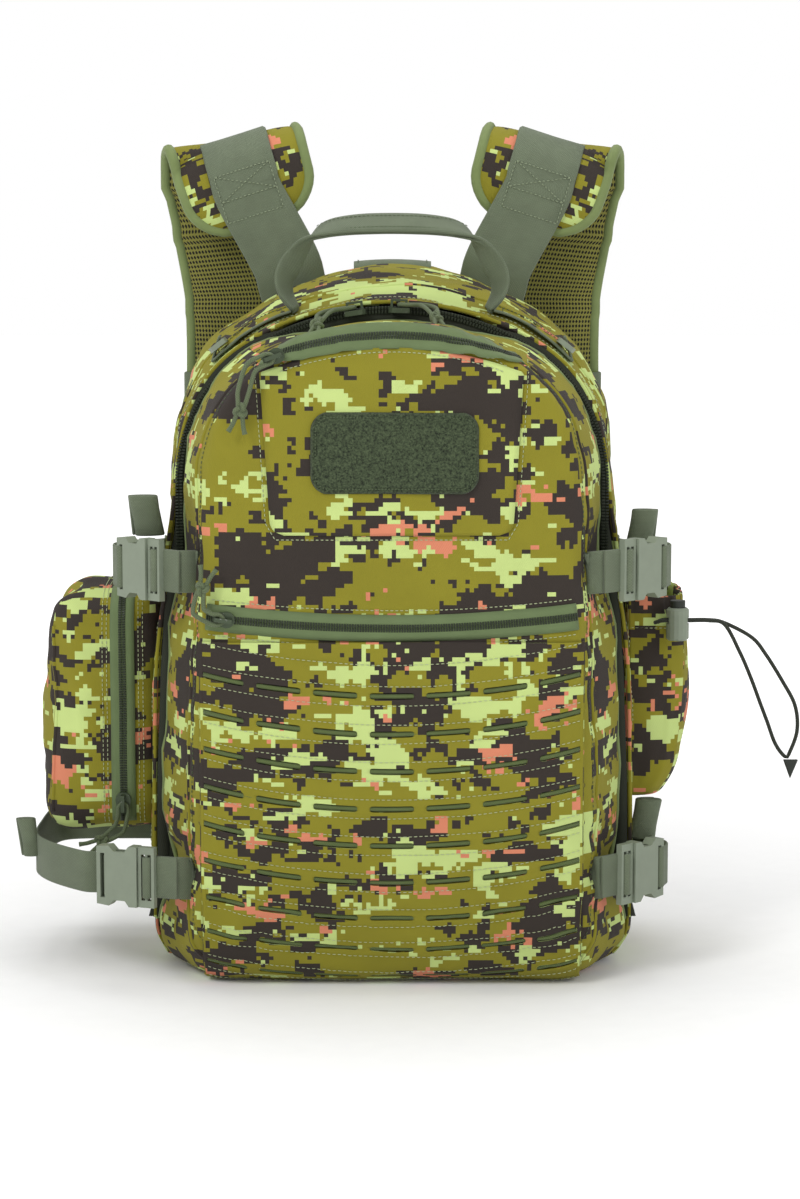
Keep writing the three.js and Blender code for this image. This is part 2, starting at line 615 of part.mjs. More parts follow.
/** Stations of the pad, from the flap in front, over the fold and down behind the bag. */
function strapStations() {
  const stations = [
    { x: 98, y: 91, z: 524, lean: STRAP_LEAN, halfWidth: 43 },
    { x: 105, y: 92, z: 546, lean: STRAP_LEAN, halfWidth: 46 },
    { x: 111, y: 96, z: 565, lean: 16, halfWidth: 47 },
    { x: 114, y: 103, z: 576, lean: 15, halfWidth: 47 },
    { x: 117, y: 112, z: 579, lean: 14, halfWidth: 47 },
    { x: 120, y: 121, z: 574, lean: 12, halfWidth: 47 },
    { x: 122, y: 127, z: 560, lean: 10, halfWidth: 46 },
    { x: 124, y: 130, z: 522, lean: 7, halfWidth: 42 },
    { x: 124, y: 131, z: 466, lean: 3, halfWidth: 37 },
    { x: 126, y: 131, z: 390, lean: 0, halfWidth: 34 },
    { x: 131, y: 131, z: 300, lean: 0, halfWidth: 32 },
    { x: 130, y: 131, z: 225, lean: 0, halfWidth: 27 },
  ];
  const path = new THREE.CatmullRomCurve3(
    stations.map((s) => vec(s.x, s.y, s.z)),
    false,
    "centripetal",
  );
  return stations.map((s, i) => ({
    at: vec(s.x, s.y, s.z),
    along: path.getTangent(i / (stations.length - 1)),
    side: vec(Math.cos(rad(s.lean)), 0, -Math.sin(rad(s.lean))),
    halfWidth: s.halfWidth,
  }));
}

function shoulderStrap(side) {
  return part(`shoulder_strap_${side}`, ribbon(strapStations(), PAD_THICK), camo());
}

const ANCHOR = { width: 50, thick: 2.4 };

/** The wide webbing that carries the strap, from the bag's top to the flap. */
function anchorWeb(side) {
  const points = [
    vec(74, 86, 482.5),
    vec(79, 84, 497),
    vec(88, 83, 522),
    vec(97, 84, 546),
    vec(102, 86, 560),
  ];
  const across = vec(Math.cos(rad(STRAP_LEAN)), 0, -Math.sin(rad(STRAP_LEAN)));
  return part(`anchor_web_${side}`, band(points, across, ANCHOR.width, ANCHOR.thick, 8), webbing());
}

const LADDER = vec(130, 131, 206); // middle of the ladder lock under the pad
const LADDER_SIZE = vec(34, 5, 26);
const LADDER_SLOTS = { width: 27, height: 4, at: [6.5, -1, -8] };
const LOWER_WEB_WIDTH = 25;

function ladderLock(side) {
  const body = block(...LADDER, ...LADDER_SIZE);
  const { width, height, at } = LADDER_SLOTS;
  const slots = at.map((z) => block(LADDER.x, LADDER.y, LADDER.z + z, width, 2 * LADDER_SIZE.y, height));
  return part(`ladder_lock_${side}`, toGeometry(cut(body, ...slots)), moulded());
}

/** The adjusting webbing, from the bag's lower corner up to the ladder lock. */
function lowerWeb(side) {
  const end = LADDER.clone().setZ(LADDER.z - 14);
  const points = [vec(150, 108, 40), vec(146, 122, 70), vec(136, 129, 130), end];
  return part(`lower_web_${side}`, band(points, vec(1, 0, 0), LOWER_WEB_WIDTH, WEB, 8), webbing());
}

// ---- compression straps ----
const RUN_START = 1;
const PLUG_AT = 25; // where the plug's frame starts along the strap
const FRAME = 12;
const SOCKET = 30;
const BUCKLE_WIDTH = 42;
const PLUG_THICK = 4.8;
const SOCKET_THICK = 9;
const STRAP_WIDTH = 30;

const PLUG_SLOTS = { at: [3.6, 8.2], length: 2.8 };
const ARM = { z: 12.5, length: 19, thick: 3.6 };
const BARB = { z: 13.6, start: 12, length: 6, width: 5.4 };
const TONGUE = { length: 13, thick: 3.4, width: 6 };
const WAIST = { start: 6, in: 9, out: 17, end: 21, depth: 4 }; // where the socket's sides pull in
const HOLLOW = { start: -1, length: 21, thick: 5, width: 33.6 };
const WINDOW = { start: 10, length: 7, thick: 4.4 };
const SOCKET_SLOT = { at: 25.6, length: 3.2 };

/** A box that starts at X = start and is centred on Y = 0. */
const bar = (start, z, length, thick, width) => block(start + length / 2, 0, z, length, thick, width);

/** The plug: a frame with two webbing slots, two sprung arms and a guide tongue. */
function plug(name) {
  const frame = bar(0, 0, FRAME, PLUG_THICK, BUCKLE_WIDTH);
  const slots = PLUG_SLOTS.at.map((x) => block(x, 0, 0, PLUG_SLOTS.length, 2 * PLUG_THICK, STRAP_WIDTH + 2));
  const overlap = 0.5; // arms and tongue run this far into the frame
  const arm = (s) => bar(FRAME - overlap, s * ARM.z, ARM.length, ARM.thick, ARM.thick);
  const barb = (s) => bar(FRAME + BARB.start, s * BARB.z, BARB.length, ARM.thick, BARB.width);
  const tongue = bar(FRAME - overlap, 0, TONGUE.length, TONGUE.thick, TONGUE.width);
  const pieces = [arm(-1), arm(1), barb(-1), barb(1), tongue];
  const solid = pieces.reduce((sum, piece) => sum.add(toSolid(piece)), cut(frame, ...slots));
  return part(name, toGeometry(solid), moulded());
}

/** The socket: a hollow body with finger windows in its sides and a bar for the rear webbing. */
function socket(name) {
  const half = BUCKLE_WIDTH / 2;
  const side = [
    new THREE.Vector2(0, half),
    new THREE.Vector2(WAIST.start, half),
    new THREE.Vector2(WAIST.in, half - WAIST.depth),
    new THREE.Vector2(WAIST.out, half - WAIST.depth),
    new THREE.Vector2(WAIST.end, half),
    new THREE.Vector2(SOCKET, half - 1),
  ];
  const otherSide = side.map((p) => new THREE.Vector2(p.x, -p.y)).reverse();
  const plan = new THREE.Shape([...side, ...otherSide]);
  const body = new THREE.ExtrudeGeometry(plan, { depth: SOCKET_THICK, bevelEnabled: false });
  body.rotateX(Math.PI / 2).translate(0, SOCKET_THICK / 2, 0);
  const hollow = bar(HOLLOW.start, 0, HOLLOW.length, HOLLOW.thick, HOLLOW.width);
  const windows = bar(WINDOW.start, 0, WINDOW.length, WINDOW.thick, 2 * BUCKLE_WIDTH);
  const webSlot = block(SOCKET_SLOT.at, 0, 0, SOCKET_SLOT.length, 2 * SOCKET_THICK, STRAP_WIDTH + 1);
  return part(name, toGeometry(cut(body, hollow, windows, webSlot)), moulded());
}

/** Front webbing, plug and socket of one compression strap, in the strap's own line. */
function compressionStrap(prefix, start, yaw) {
  const group = new THREE.Group();
  group.position.copy(start);
  group.rotation.z = rad(yaw);
  const inward = 3.6; // the webbing lies this far behind the plug's middle
  const lap = 8; // and runs this far past the start of the plug's frame
  const webLength = PLUG_AT + lap - RUN_START;
  const frontWeb = bar(RUN_START, 0, webLength, WEB, STRAP_WIDTH).translate(0, inward, 0);
  const webMesh = part(`${prefix}_front_web`, frontWeb, webbing());
  const plugMesh = plug(`${prefix}_plug`);
  plugMesh.position.x = PLUG_AT;
  const socketMesh = socket(`${prefix}_socket`);
  socketMesh.position.x = PLUG_AT + FRAME + GAP;
  group.add(webMesh, plugMesh, socketMesh);
  return group;
}

const UPPER_STRAP_Z = 288;
const LOWER_STRAP_Z = 78;
const STRAP_START = vec(138, -112, 0);
const STRAP_YAW = 45;
const POCKET_STRAP_YAW = 20; // the strap that runs in front of the side pouch

/** A short rear webbing from the side of the rear section to the socket. */
function rearWeb(name, z) {
  const points = [
    vec(187.4, -62.6, z),
    vec(190, -50, z),
    vec(179, -30, z),
    vec(166, -16, z),
    vec(164.8, 12, z),
  ];
  return part(name, band(points, vec(0, 0, 1), STRAP_WIDTH, WEB, 10), webbing());
}

/** The long rear webbing that wraps round the side pouch. */
function pouchWeb(name, z) {
  const points = [
    vec(203, -88.3, z),
    vec(219, -78, z),
    vec(240, -48, z),
    vec(250.5, -18, z),
    vec(250.5, 72, z),
    vec(240, 92, z),
    vec(200, 95, z),
    vec(168, 95, z),
  ];
  return part(name, band(points, vec(0, 0, 1), STRAP_WIDTH, WEB, 18), webbing());
}

// ---- zipped side pouch (left) ----
const POUCH = { inner: 163.4, outer: 247, front: -25, back: 88, base: 94, top: 266 };
const POUCH_ROUNDING = 14;
const POUCH_ZIP_X = 190;
const POUCH_ZIP_LENGTH = 150;
const POUCH_MOUTH_SHORTER = 14;
const POUCH_COIL_SHORTER = 8;
const POUCH_SLIDER_Z = 116;

function sidePouch() {
  const size = vec(POUCH.outer - POUCH.inner, POUCH.back - POUCH.front, POUCH.top - POUCH.base);
  const at = vec(POUCH.inner + size.x / 2, POUCH.front + size.y / 2, POUCH.base + size.z / 2);
  const roundedBox = (inset) => {
    const [sx, sy, sz] = size.toArray().map((length) => length - 2 * inset);
    return new RoundedBoxGeometry(sx, sy, sz, 2, POUCH_ROUNDING - inset).translate(at.x, at.y, at.z);
  };
  const mouthLength = POUCH_ZIP_LENGTH - POUCH_MOUTH_SHORTER;
  const mouth = block(POUCH_ZIP_X, POUCH.front, at.z, MOUTH_HEIGHT, 4 * WALL, mouthLength);
  return part("side_pouch", toGeometry(cut(roundedBox(0), roundedBox(WALL), mouth)), camo());
}

function pouchZip() {
  const group = new THREE.Group();
  const tape = block(0, -ZIP_THICK / 2, 0, ZIP_HEIGHT, ZIP_THICK, POUCH_ZIP_LENGTH);
  const coilLength = POUCH_ZIP_LENGTH - POUCH_COIL_SHORTER;
  const coil = block(0, -(ZIP_THICK + COIL) / 2, 0, COIL_HEIGHT, ZIP_THICK + COIL, coilLength);
  const zip = part("side_pouch_zip", toGeometry(join(tape, coil)), zipTape());
  zip.position.set(POUCH_ZIP_X, POUCH.front - GAP, (POUCH.base + POUCH.top) / 2);
  const onZip = sliderWithPull("side_pouch", 0, 34, 60);
  const front = POUCH.front - GAP - ZIP_THICK - COIL - GAP;
  onZip.position.set(POUCH_ZIP_X, front - SLIDER_DEPTH, POUCH_SLIDER_Z);
  group.add(zip, onZip);
  return group;
}

// ---- open bottle pocket (right) ----
const CUP = { inner: 163.4, front: -22, back: 82, base: 117, top: 262, wall: 3 };
const CUP_CORNER = { outer: 16, inner: 4 };

/** A ring of the cup: a rectangle with round corners, outerX wide at its height. */
function cupRing(z, outerX, shrink) {
  const radius = CUP_CORNER.outer - shrink;
  const small = CUP_CORNER.inner;
  const right = outerX - shrink - radius;
  const left = CUP.inner + shrink + small;
  const front = CUP.front + shrink + radius;
  const back = CUP.back - shrink - radius;
  const loop = [
    ...arc(right, back, radius, 0, 90, 4),
    ...arc(left, back + radius - small, small, 90, 180, 2),
    ...arc(left, front - radius + small, small, 180, 270, 2),
    ...arc(right, front, radius, 270, 360, 4),
  ];
  return loop.map((p) => vec(p.x, p.y, z));
}

function bottlePocket() {
  const { wall } = CUP;
  const profile = [
    [CUP.base, 189],
    [CUP.base + 22, 203],
    [CUP.base + 70, 211],
    [CUP.top, 208],
  ];
  const outer = profile.map(([z, x]) => cupRing(z, x, 0));
  const inner = profile.map(([z, x], i) => cupRing(i === 0 ? z + wall : z, x, wall)).reverse();
  return part("bottle_pocket", skin([...outer, ...inner]), camo());
}

// ---- drawcord of the bottle pocket ----
const LOCK = vec(200, -31.5, 246);
const CORD_RADIUS = 1.4;
const STRANDS = 2.1; // each strand stands this far from the lock's middle
const BARREL = { radius: 8, low: -14, high: 9, floor: 2, chamfer: 1.5 };
const BORE = 5.7;
const CORD_HOLE = { width: 8.4, height: 4.4 };
const BUTTON = { radius: 5.3, length: 18, z: 5, slotWidth: 8.6, slotHeight: 8, slotZ: 1.8 };
const SPRING = { turns: 3, steps: 8, radius: 3.4, wire: 0.5, low: -11, high: -5.2 };

function lockBarrel() {
  const { radius, low, high, floor, chamfer } = BARREL;
  const profile = [
    new THREE.Vector2(0, low),
    new THREE.Vector2(radius - chamfer, low),
    new THREE.Vector2(radius, low + chamfer),
    new THREE.Vector2(radius, high - chamfer),
    new THREE.Vector2(radius - chamfer, high),
    new THREE.Vector2(BORE, high),
    new THREE.Vector2(BORE, low + floor),
    new THREE.Vector2(0, low + floor),
  ];
  const body = new THREE.LatheGeometry(profile, 16).rotateX(Math.PI / 2);
  const cordHole = block(0, 0, 0, 4 * radius, CORD_HOLE.width, CORD_HOLE.height);
  const made = part("cord_lock_barrel", toGeometry(cut(body, cordHole)), moulded());
  made.position.copy(LOCK);
  return made;
}

function lockButton() {
  const { radius, length, z, slotWidth, slotHeight, slotZ } = BUTTON;
  const stem = new THREE.CylinderGeometry(radius, radius, length, 16).rotateX(Math.PI / 2).translate(0, 0, z);
  const slot = block(0, 0, slotZ, 3 * radius, slotWidth, slotHeight);
  const made = part("cord_lock_button", toGeometry(cut(stem, slot)), darkPlastic());
  made.position.copy(LOCK);
  return made;
}

function lockSpring() {
  const { turns, steps, radius, wire, low, high } = SPRING;
  const points = Array.from({ length: turns * steps + 1 }, (_, i) => {
    const angle = (i / steps) * Math.PI * 2;
    const z = low + ((high - low) * i) / (turns * steps);
    return vec(radius * Math.cos(angle), radius * Math.sin(angle), z);
  });
  const made = part("cord_lock_spring", cord(points, wire, turns * steps, 2), steel());
  made.position.copy(LOCK);
  return made;
}

function shockCord() {
  const at = (x, strand, z) => vec(x, LOCK.y + strand, z);
  const points = [
    at(185, -STRANDS, LOCK.z),
    at(206, -STRANDS, LOCK.z),
    at(222, -STRANDS, LOCK.z),
    at(231, -STRANDS, LOCK.z - 0.5),
    at(252, -STRANDS, 234),
    at(274, -STRANDS, 203),
    at(287, -1, 170),
    at(280, 0, 149),
    at(267, 1, 160),
    at(259, STRANDS, 187),
    at(244, STRANDS, 223),
    at(231, STRANDS, LOCK.z - 3),
    at(222, STRANDS, LOCK.z),
    at(206, STRANDS, LOCK.z),
    at(185, STRANDS, LOCK.z),
  ];
  return part("shock_cord", cord(points, CORD_RADIUS, 48), darkPlastic());
}

function cordEnd() {
  const shape = new THREE.Shape([
    new THREE.Vector2(275, 146),
    new THREE.Vector2(281, 134),
    new THREE.Vector2(286, 146),
  ]);
  const thick = 5;
  return plate("cord_end", shape, LOCK.y - thick / 2, thick, darkPlastic());
}

// ---- assembly ----
const pack = new THREE.Group();

const frontSection = new THREE.Group();
frontSection.add(frontShell(), organizerPanel(), loopPatch(), ...frontZips());
frontSection.add(organizerSlider(), lowerSlider(), mollePanel());
pack.add(frontSection, mainZip(), mainSlider("left", -8), mainSlider("right", 1.5));

pack.add(rearShell(), backPad(), frameSheet(), hydrationSleeve(), hydrationFlap(), grabHandle());
for (const side of ["left", "right"]) {
  const half = new THREE.Group();
  half.scale.x = side === "left" ? -1 : 1;
  half.add(topWeb(side), dRing(side), shoulderStrap(side), anchorWeb(side), ladderLock(side), lowerWeb(side));
  const upper = compressionStrap(`upper_${side}`, STRAP_START.clone().setZ(UPPER_STRAP_Z), STRAP_YAW);
  const lowerYaw = side === "left" ? POCKET_STRAP_YAW : STRAP_YAW;
  const lower = compressionStrap(`lower_${side}`, STRAP_START.clone().setZ(LOWER_STRAP_Z), lowerYaw);
  const upperRear = rearWeb(`upper_${side}_rear_web`, UPPER_STRAP_Z);
  const wrap = side === "left" ? pouchWeb : rearWeb;
  half.add(upper, lower, upperRear, wrap(`lower_${side}_rear_web`, LOWER_STRAP_Z));
  if (side === "left") {
    half.add(sidePouch(), pouchZip());
  } else {
    half.add(bottlePocket(), lockBarrel(), lockButton(), lockSpring(), shockCord(), cordEnd());
  }
  pack.add(half);
}

export default pack;
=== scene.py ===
"""Looks of the hunting backpack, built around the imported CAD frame. Lengths inside the script are
millimetres in the frame's axes: +Z up, the front faces -Y, +X is the viewer's right."""
import bmesh
import bpy
import json
import math
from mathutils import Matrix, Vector, noise
from mathutils.bvhtree import BVHTree


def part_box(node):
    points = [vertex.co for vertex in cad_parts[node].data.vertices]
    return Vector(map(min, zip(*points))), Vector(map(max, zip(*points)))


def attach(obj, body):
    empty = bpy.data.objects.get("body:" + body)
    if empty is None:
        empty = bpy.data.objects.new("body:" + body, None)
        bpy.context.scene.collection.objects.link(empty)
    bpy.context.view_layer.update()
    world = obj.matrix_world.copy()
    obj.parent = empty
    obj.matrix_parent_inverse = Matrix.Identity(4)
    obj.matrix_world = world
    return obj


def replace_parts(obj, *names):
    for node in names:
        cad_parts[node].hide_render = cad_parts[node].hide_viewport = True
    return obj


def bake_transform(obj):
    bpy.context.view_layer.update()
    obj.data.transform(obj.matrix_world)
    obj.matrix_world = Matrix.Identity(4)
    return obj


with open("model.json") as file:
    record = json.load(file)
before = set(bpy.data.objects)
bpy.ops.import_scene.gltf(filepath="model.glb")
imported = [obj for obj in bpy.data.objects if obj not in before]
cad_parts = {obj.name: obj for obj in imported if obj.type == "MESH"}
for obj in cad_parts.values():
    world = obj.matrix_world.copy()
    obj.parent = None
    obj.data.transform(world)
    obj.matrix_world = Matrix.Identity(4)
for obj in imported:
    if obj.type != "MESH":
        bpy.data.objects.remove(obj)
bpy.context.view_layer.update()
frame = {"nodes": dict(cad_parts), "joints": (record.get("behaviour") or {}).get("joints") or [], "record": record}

MM = 0.001
TURN = 2 * math.pi
ACROSS = Vector((1, 0, 0))
BACKWARD = Vector((0, 1, 0))
FORWARD = Vector((0, -1, 0))
UP = Vector((0, 0, 1))
SIDES = {"left": -1, "right": 1}
QUARTERS = ((1, -1, -90), (1, 1, 0), (-1, 1, 90), (-1, -1, 180))


def mm_box(node):
    low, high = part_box(node)
    return low / MM, high / MM


# ---- driving dimensions, from the frame where it holds them ----
front_low, front_high = mm_box("front_shell")
rear_low, rear_high = mm_box("rear_shell")
FLARE = 1.09
FRONT_HALF = front_high.x / FLARE
FRONT_TOP = front_high.z
FRONT_BASE = front_low.z
FRONT_FACE = front_low.y
FRONT_REAR = front_high.y
REAR_STEP = rear_high.x - FRONT_HALF
MOUTH = rear_low.y
BACK = rear_high.y
CROWN = 175
SHOULDER = 100
FOOT = 30
EDGE_SIDE = 16
EDGE_FOOT = 55
EDGE_DEPTH = 40
FACE_LIFT = 10
RISE = 14
CROWN_Z = FRONT_TOP - CROWN
SHOULDER_X = FRONT_HALF - SHOULDER
SHOULDER_Z = CROWN_Z + math.sqrt((CROWN - SHOULDER) ** 2 - SHOULDER_X**2)
CROWN_TURN = math.degrees(math.asin(SHOULDER_X / (CROWN - SHOULDER)))


# ---- material helpers ----
def srgb(r, g, b):
    """A 0-255 screen colour as linear rgba."""
    def linear(c):
        c /= 255
        return c / 12.92 if c <= 0.04045 else ((c + 0.055) / 1.055) ** 2.4
    return (linear(r), linear(g), linear(b), 1)


class Value:
    """A number that nodes work out, for use in plain sums."""

    def __init__(self, nodes, socket):
        self.nodes = nodes
        self.socket = socket

    def __add__(self, other):
        return self.nodes.math("ADD", self, other)

    def __radd__(self, other):
        return self.nodes.math("ADD", other, self)

    def __sub__(self, other):
        return self.nodes.math("SUBTRACT", self, other)

    def __rsub__(self, other):
        return self.nodes.math("SUBTRACT", other, self)

    def __mul__(self, other):
        return self.nodes.math("MULTIPLY", self, other)

    def __truediv__(self, other):
        return self.nodes.math("DIVIDE", self, other)

    def __gt__(self, other):
        return self.nodes.math("GREATER_THAN", self, other)

    def wave(self, pitch, shape="SINE"):
        """Repeats once in each pitch."""
        return self.nodes.math(shape, self * (TURN / pitch))


class Nodes:
    """Short calls for wiring a node material."""

    def __init__(self, name):
        self.material = bpy.data.materials.new(name)
        self.material.use_nodes = True
        self.tree = self.material.node_tree
        self.shader = self.tree.nodes["Principled BSDF"]

    def add(self, kind, **settings):
        node = self.tree.nodes.new(f"ShaderNode{kind}")
        for key, value in settings.items():
            setattr(node, key, value)
        return node

    def put(self, socket, value):
        if isinstance(value, Value):
            value = value.socket
        if isinstance(value, bpy.types.NodeSocket):
            self.tree.links.new(value, socket)
        else:
            socket.default_value = value

    def math(self, operation, *values):
        node = self.add("Math", operation=operation)
        for socket, value in zip(node.inputs, (*values, 0.0, 0.0)):
            self.put(socket, value)
        return Value(self, node.outputs[0])

    def vector(self, operation, a, scale=None):
        node = self.add("VectorMath", operation=operation)
        self.put(node.inputs[0], a)
        if scale:
            self.put(node.inputs["Scale"], scale)
        return node.outputs[0]

    def split(self, vector):
        node = self.add("SeparateXYZ")
        self.put(node.inputs[0], vector)
        return [Value(self, output) for output in node.outputs]

    def join(self, *values):
        node = self.add("CombineXYZ")
        for socket, value in zip(node.inputs, values):
            self.put(socket, value)
        return node.outputs[0]

    def noise(self, vector, scale, detail=2.0, roughness=0.5):
        node = self.add("TexNoise")
        settings = {"Vector": vector, "Scale": scale, "Detail": detail, "Roughness": roughness}
        for key, value in settings.items():
            self.put(node.inputs[key], value)
        return Value(self, node.outputs["Fac"])

    def mix(self, share, a, b, blend="MIX"):
        node = self.add("Mix", data_type="RGBA", blend_type=blend)
        for index, value in ((0, share), (6, a), (7, b)):
            self.put(node.inputs[index], value)
        return node.outputs[2]

    def shade(self, color, factor):
        """Colour times a grey factor."""
        return self.mix(1, color, self.join(factor, factor, factor), "MULTIPLY")

    def bump(self, height, distance, strength=1.0):
        node = self.add("Bump")
        for key, value in (("Strength", strength), ("Distance", distance * MM), ("Height", height)):
            self.put(node.inputs[key], value)
        self.put(self.shader.inputs["Normal"], node.outputs[0])

    def coordinates(self, output):
        return self.add("TexCoord").outputs[output]

    def uv(self):
        """The piece's own length units: millimetres across and along."""
        return self.split(self.coordinates("UV"))[:2]

    def boxed(self):
        """Millimetres on the flat plane that each face is nearest to."""
        x, y, z = self.split(self.vector("SCALE", self.coordinates("Object"), 1 / MM))
        nx, ny, nz = self.split(self.vector("ABSOLUTE", self.coordinates("Normal")))
        side_on = nx > ny * 1.35
        flat = nz > self.math("MAXIMUM", nx, ny) * 1.6
        side_on = side_on * (1.0 - flat)
        return x + side_on * (y - x), z + flat * (y - z)

    def place(self, mapping):
        return self.uv() if mapping == "uv" else self.boxed()

    def finish(self, color, roughness, sheen=0.0, metallic=0.0):
        settings = {"Base Color": color, "Roughness": roughness, "Metallic": metallic, "Sheen Weight": sheen}
        for key, value in {**settings, "Specular IOR Level": 0.3}.items():
            self.put(self.shader.inputs[key], value)
        return self.material


CAMO = {
    "olive": srgb(130, 124, 32),
    "brown": srgb(50, 43, 38),
    "pale": srgb(186, 204, 126),
    "coral": srgb(204, 126, 96),
}
CELL = 2.9


def camo(name, seed, mapping="boxed", brown=0.535):
    """Printed twill in a square-block camouflage of four colours, generated from noise."""
    n = Nodes(name)
    u, v = n.place(mapping)
    cell_u, cell_v = n.math("FLOOR", u / CELL), n.math("FLOOR", v / CELL)

    def blobs(layer, width, height, threshold):
        place = n.join(cell_u / (width / CELL), cell_v / (height / CELL), seed + 7.3 * layer)
        field = n.noise(place, 1.0, 3.5, 0.62)
        speck = n.noise(n.join(cell_u, cell_v, seed + layer), 0.37, 1.0, 0.5)
        return field + (speck - 0.5) * 0.26 > threshold

    color = n.mix(blobs(1, 58, 34, brown), CAMO["olive"], CAMO["brown"])
    color = n.mix(blobs(2, 50, 26, 0.575), color, CAMO["pale"])
    color = n.mix(blobs(3, 56, 30, 0.625), color, CAMO["coral"])
    yarn = (u + v * 1.6).wave(1.5) * 0.7 + (u - v).wave(1.1) * 0.3
    cloudy = n.noise(n.join(u, v, seed), 0.02, 3, 0.6)
    n.bump(yarn, 0.16, 0.7)
    # The colour darkens a little with the twill's low parts: painted shade in the weave.
    return n.finish(n.shade(color, yarn * 0.09 + (0.86 + cloudy * 0.26)), 0.86, sheen=0.02)


def webbing_material(name, color, pitch=1.9):
    """Ribbed nylon webbing; ribs run along the length and picks cross them."""
    n = Nodes(name)
    u, v = n.uv()
    rib = u.wave(pitch)
    shift = n.math("SIGN", rib) * (math.pi / 2)
    pick = n.math("SINE", v * (TURN / 1.5) + shift)
    weave = n.math("ABSOLUTE", rib) * (0.6 + pick * 0.4)
    worn = n.noise(n.join(u, v, 0.0), 0.06, 3, 0.6)
    n.bump(weave, 0.35, 0.8)
    # The colour darkens with the weave's low parts: painted shade in the grooves between ribs and picks.
    return n.finish(n.shade(color, weave * 0.3 + (0.62 + worn * 0.36)), 0.78, sheen=0.1)


def tape_material(name, color):
    """Fine woven zip tape or binding, with a herringbone."""
    n = Nodes(name)
    u, v = n.uv()
    weave = v.wave(1.0) * u.wave(1.3)
    cloudy = n.noise(n.join(u, v, 1.0), 0.05, 2, 0.5)
    n.bump(weave, 0.12, 0.6)
    # The colour follows the weave's height: painted shade in its low parts.
    return n.finish(n.shade(color, weave * 0.08 + (0.82 + cloudy * 0.3)), 0.8, sheen=0.08)


def plastic(name, color, roughness=0.42):
    """Moulded plastic with a fine spark-eroded grain and faint handling marks."""
    n = Nodes(name)
    place = n.coordinates("Object")
    marks = n.noise(place, 90, 4, 0.65)
    n.bump(n.noise(place, 2600, 2, 0.6), 0.05, 0.5)
    return n.finish(n.shade(color, 0.88 + marks * 0.24), (roughness - 0.08) + marks * 0.2)


def cord_material(name, color):
    """Braided cord: two sets of strands cross on the sleeve."""
    n = Nodes(name)
    u, v = n.uv()
    braid = n.math("MAXIMUM", (u + v).wave(1.7), (u - v).wave(1.7))
    worn = n.noise(n.join(u, v, 3.0), 0.2, 2, 0.5)
    n.bump(braid, 0.2, 0.8)
    # The colour darkens between the strands: painted shade in the braid's crevices.
    return n.finish(n.shade(color, braid * 0.2 + (0.68 + worn * 0.3)), 0.75, sheen=0.1)


def spacer_mesh(name, mapping="boxed"):
    """Open spacer mesh: yellow-green yarn round diamond holes, which are painted near-black as painted shade of
    their depth.
    """
    n = Nodes(name)
    u, v = n.place(mapping)
    lattice = (u * 1.5 + v).wave(7.2, "COSINE") * (u * 1.5 - v).wave(7.2, "COSINE")
    fine = n.noise(n.join(u, v, 0.0), 1.4, 2, 0.6)
    yarn = n.mix(fine, srgb(92, 92, 40), srgb(140, 136, 66))
    n.bump(1.0 - n.math("MAXIMUM", lattice, 0.0), 0.8, 1.0)
    # Near-black in the holes: painted shade.
    return n.finish(n.mix(lattice > 0.18, yarn, srgb(24, 25, 14)), 0.9, sheen=0.1)


def pile_material():
    """Loop pile: paler green where the pile is high and near-black where it is low, painted shade between the
    loops.
    """
    n = Nodes("loop_pile")
    u, v = n.boxed()
    fleck = n.noise(n.join(u, v, 2.0), 0.7, 3, 0.75)
    n.bump(fleck, 0.7, 1.0)
    # The near-black follows the pile's low parts: painted shade.
    return n.finish(n.mix((fleck - 0.32) * 3.0, srgb(9, 16, 8), srgb(74, 86, 60)), 0.95, sheen=0.1)


def plain_cloth(name, color):
    """Plain weave with a square grid."""
    n = Nodes(name)
    u, v = n.boxed()
    grid = n.math("SINE", u * 6) * n.math("SINE", v * 6)
    cloudy = n.noise(n.join(u, v, 5.0), 0.03, 3, 0.6)
    n.bump(grid, 0.1, 0.6)
    # The colour darkens with the grid's low cells: painted shade in the weave.
    return n.finish(n.shade(color, grid * 0.06 + (0.8 + cloudy * 0.3)), 0.88)


def painted_metal(name, color):
    """Painted metal, chipped to bare metal in small spots."""
    n = Nodes(name)
    chips = n.noise(n.coordinates("Object"), 500, 4, 0.7)
    n.bump(chips, 0.04, 0.5)
    worn = n.mix((chips > 0.66) * 0.8, color, srgb(150, 152, 146))
    return n.finish(worn, 0.25 + chips * 0.3, metallic=0.55)


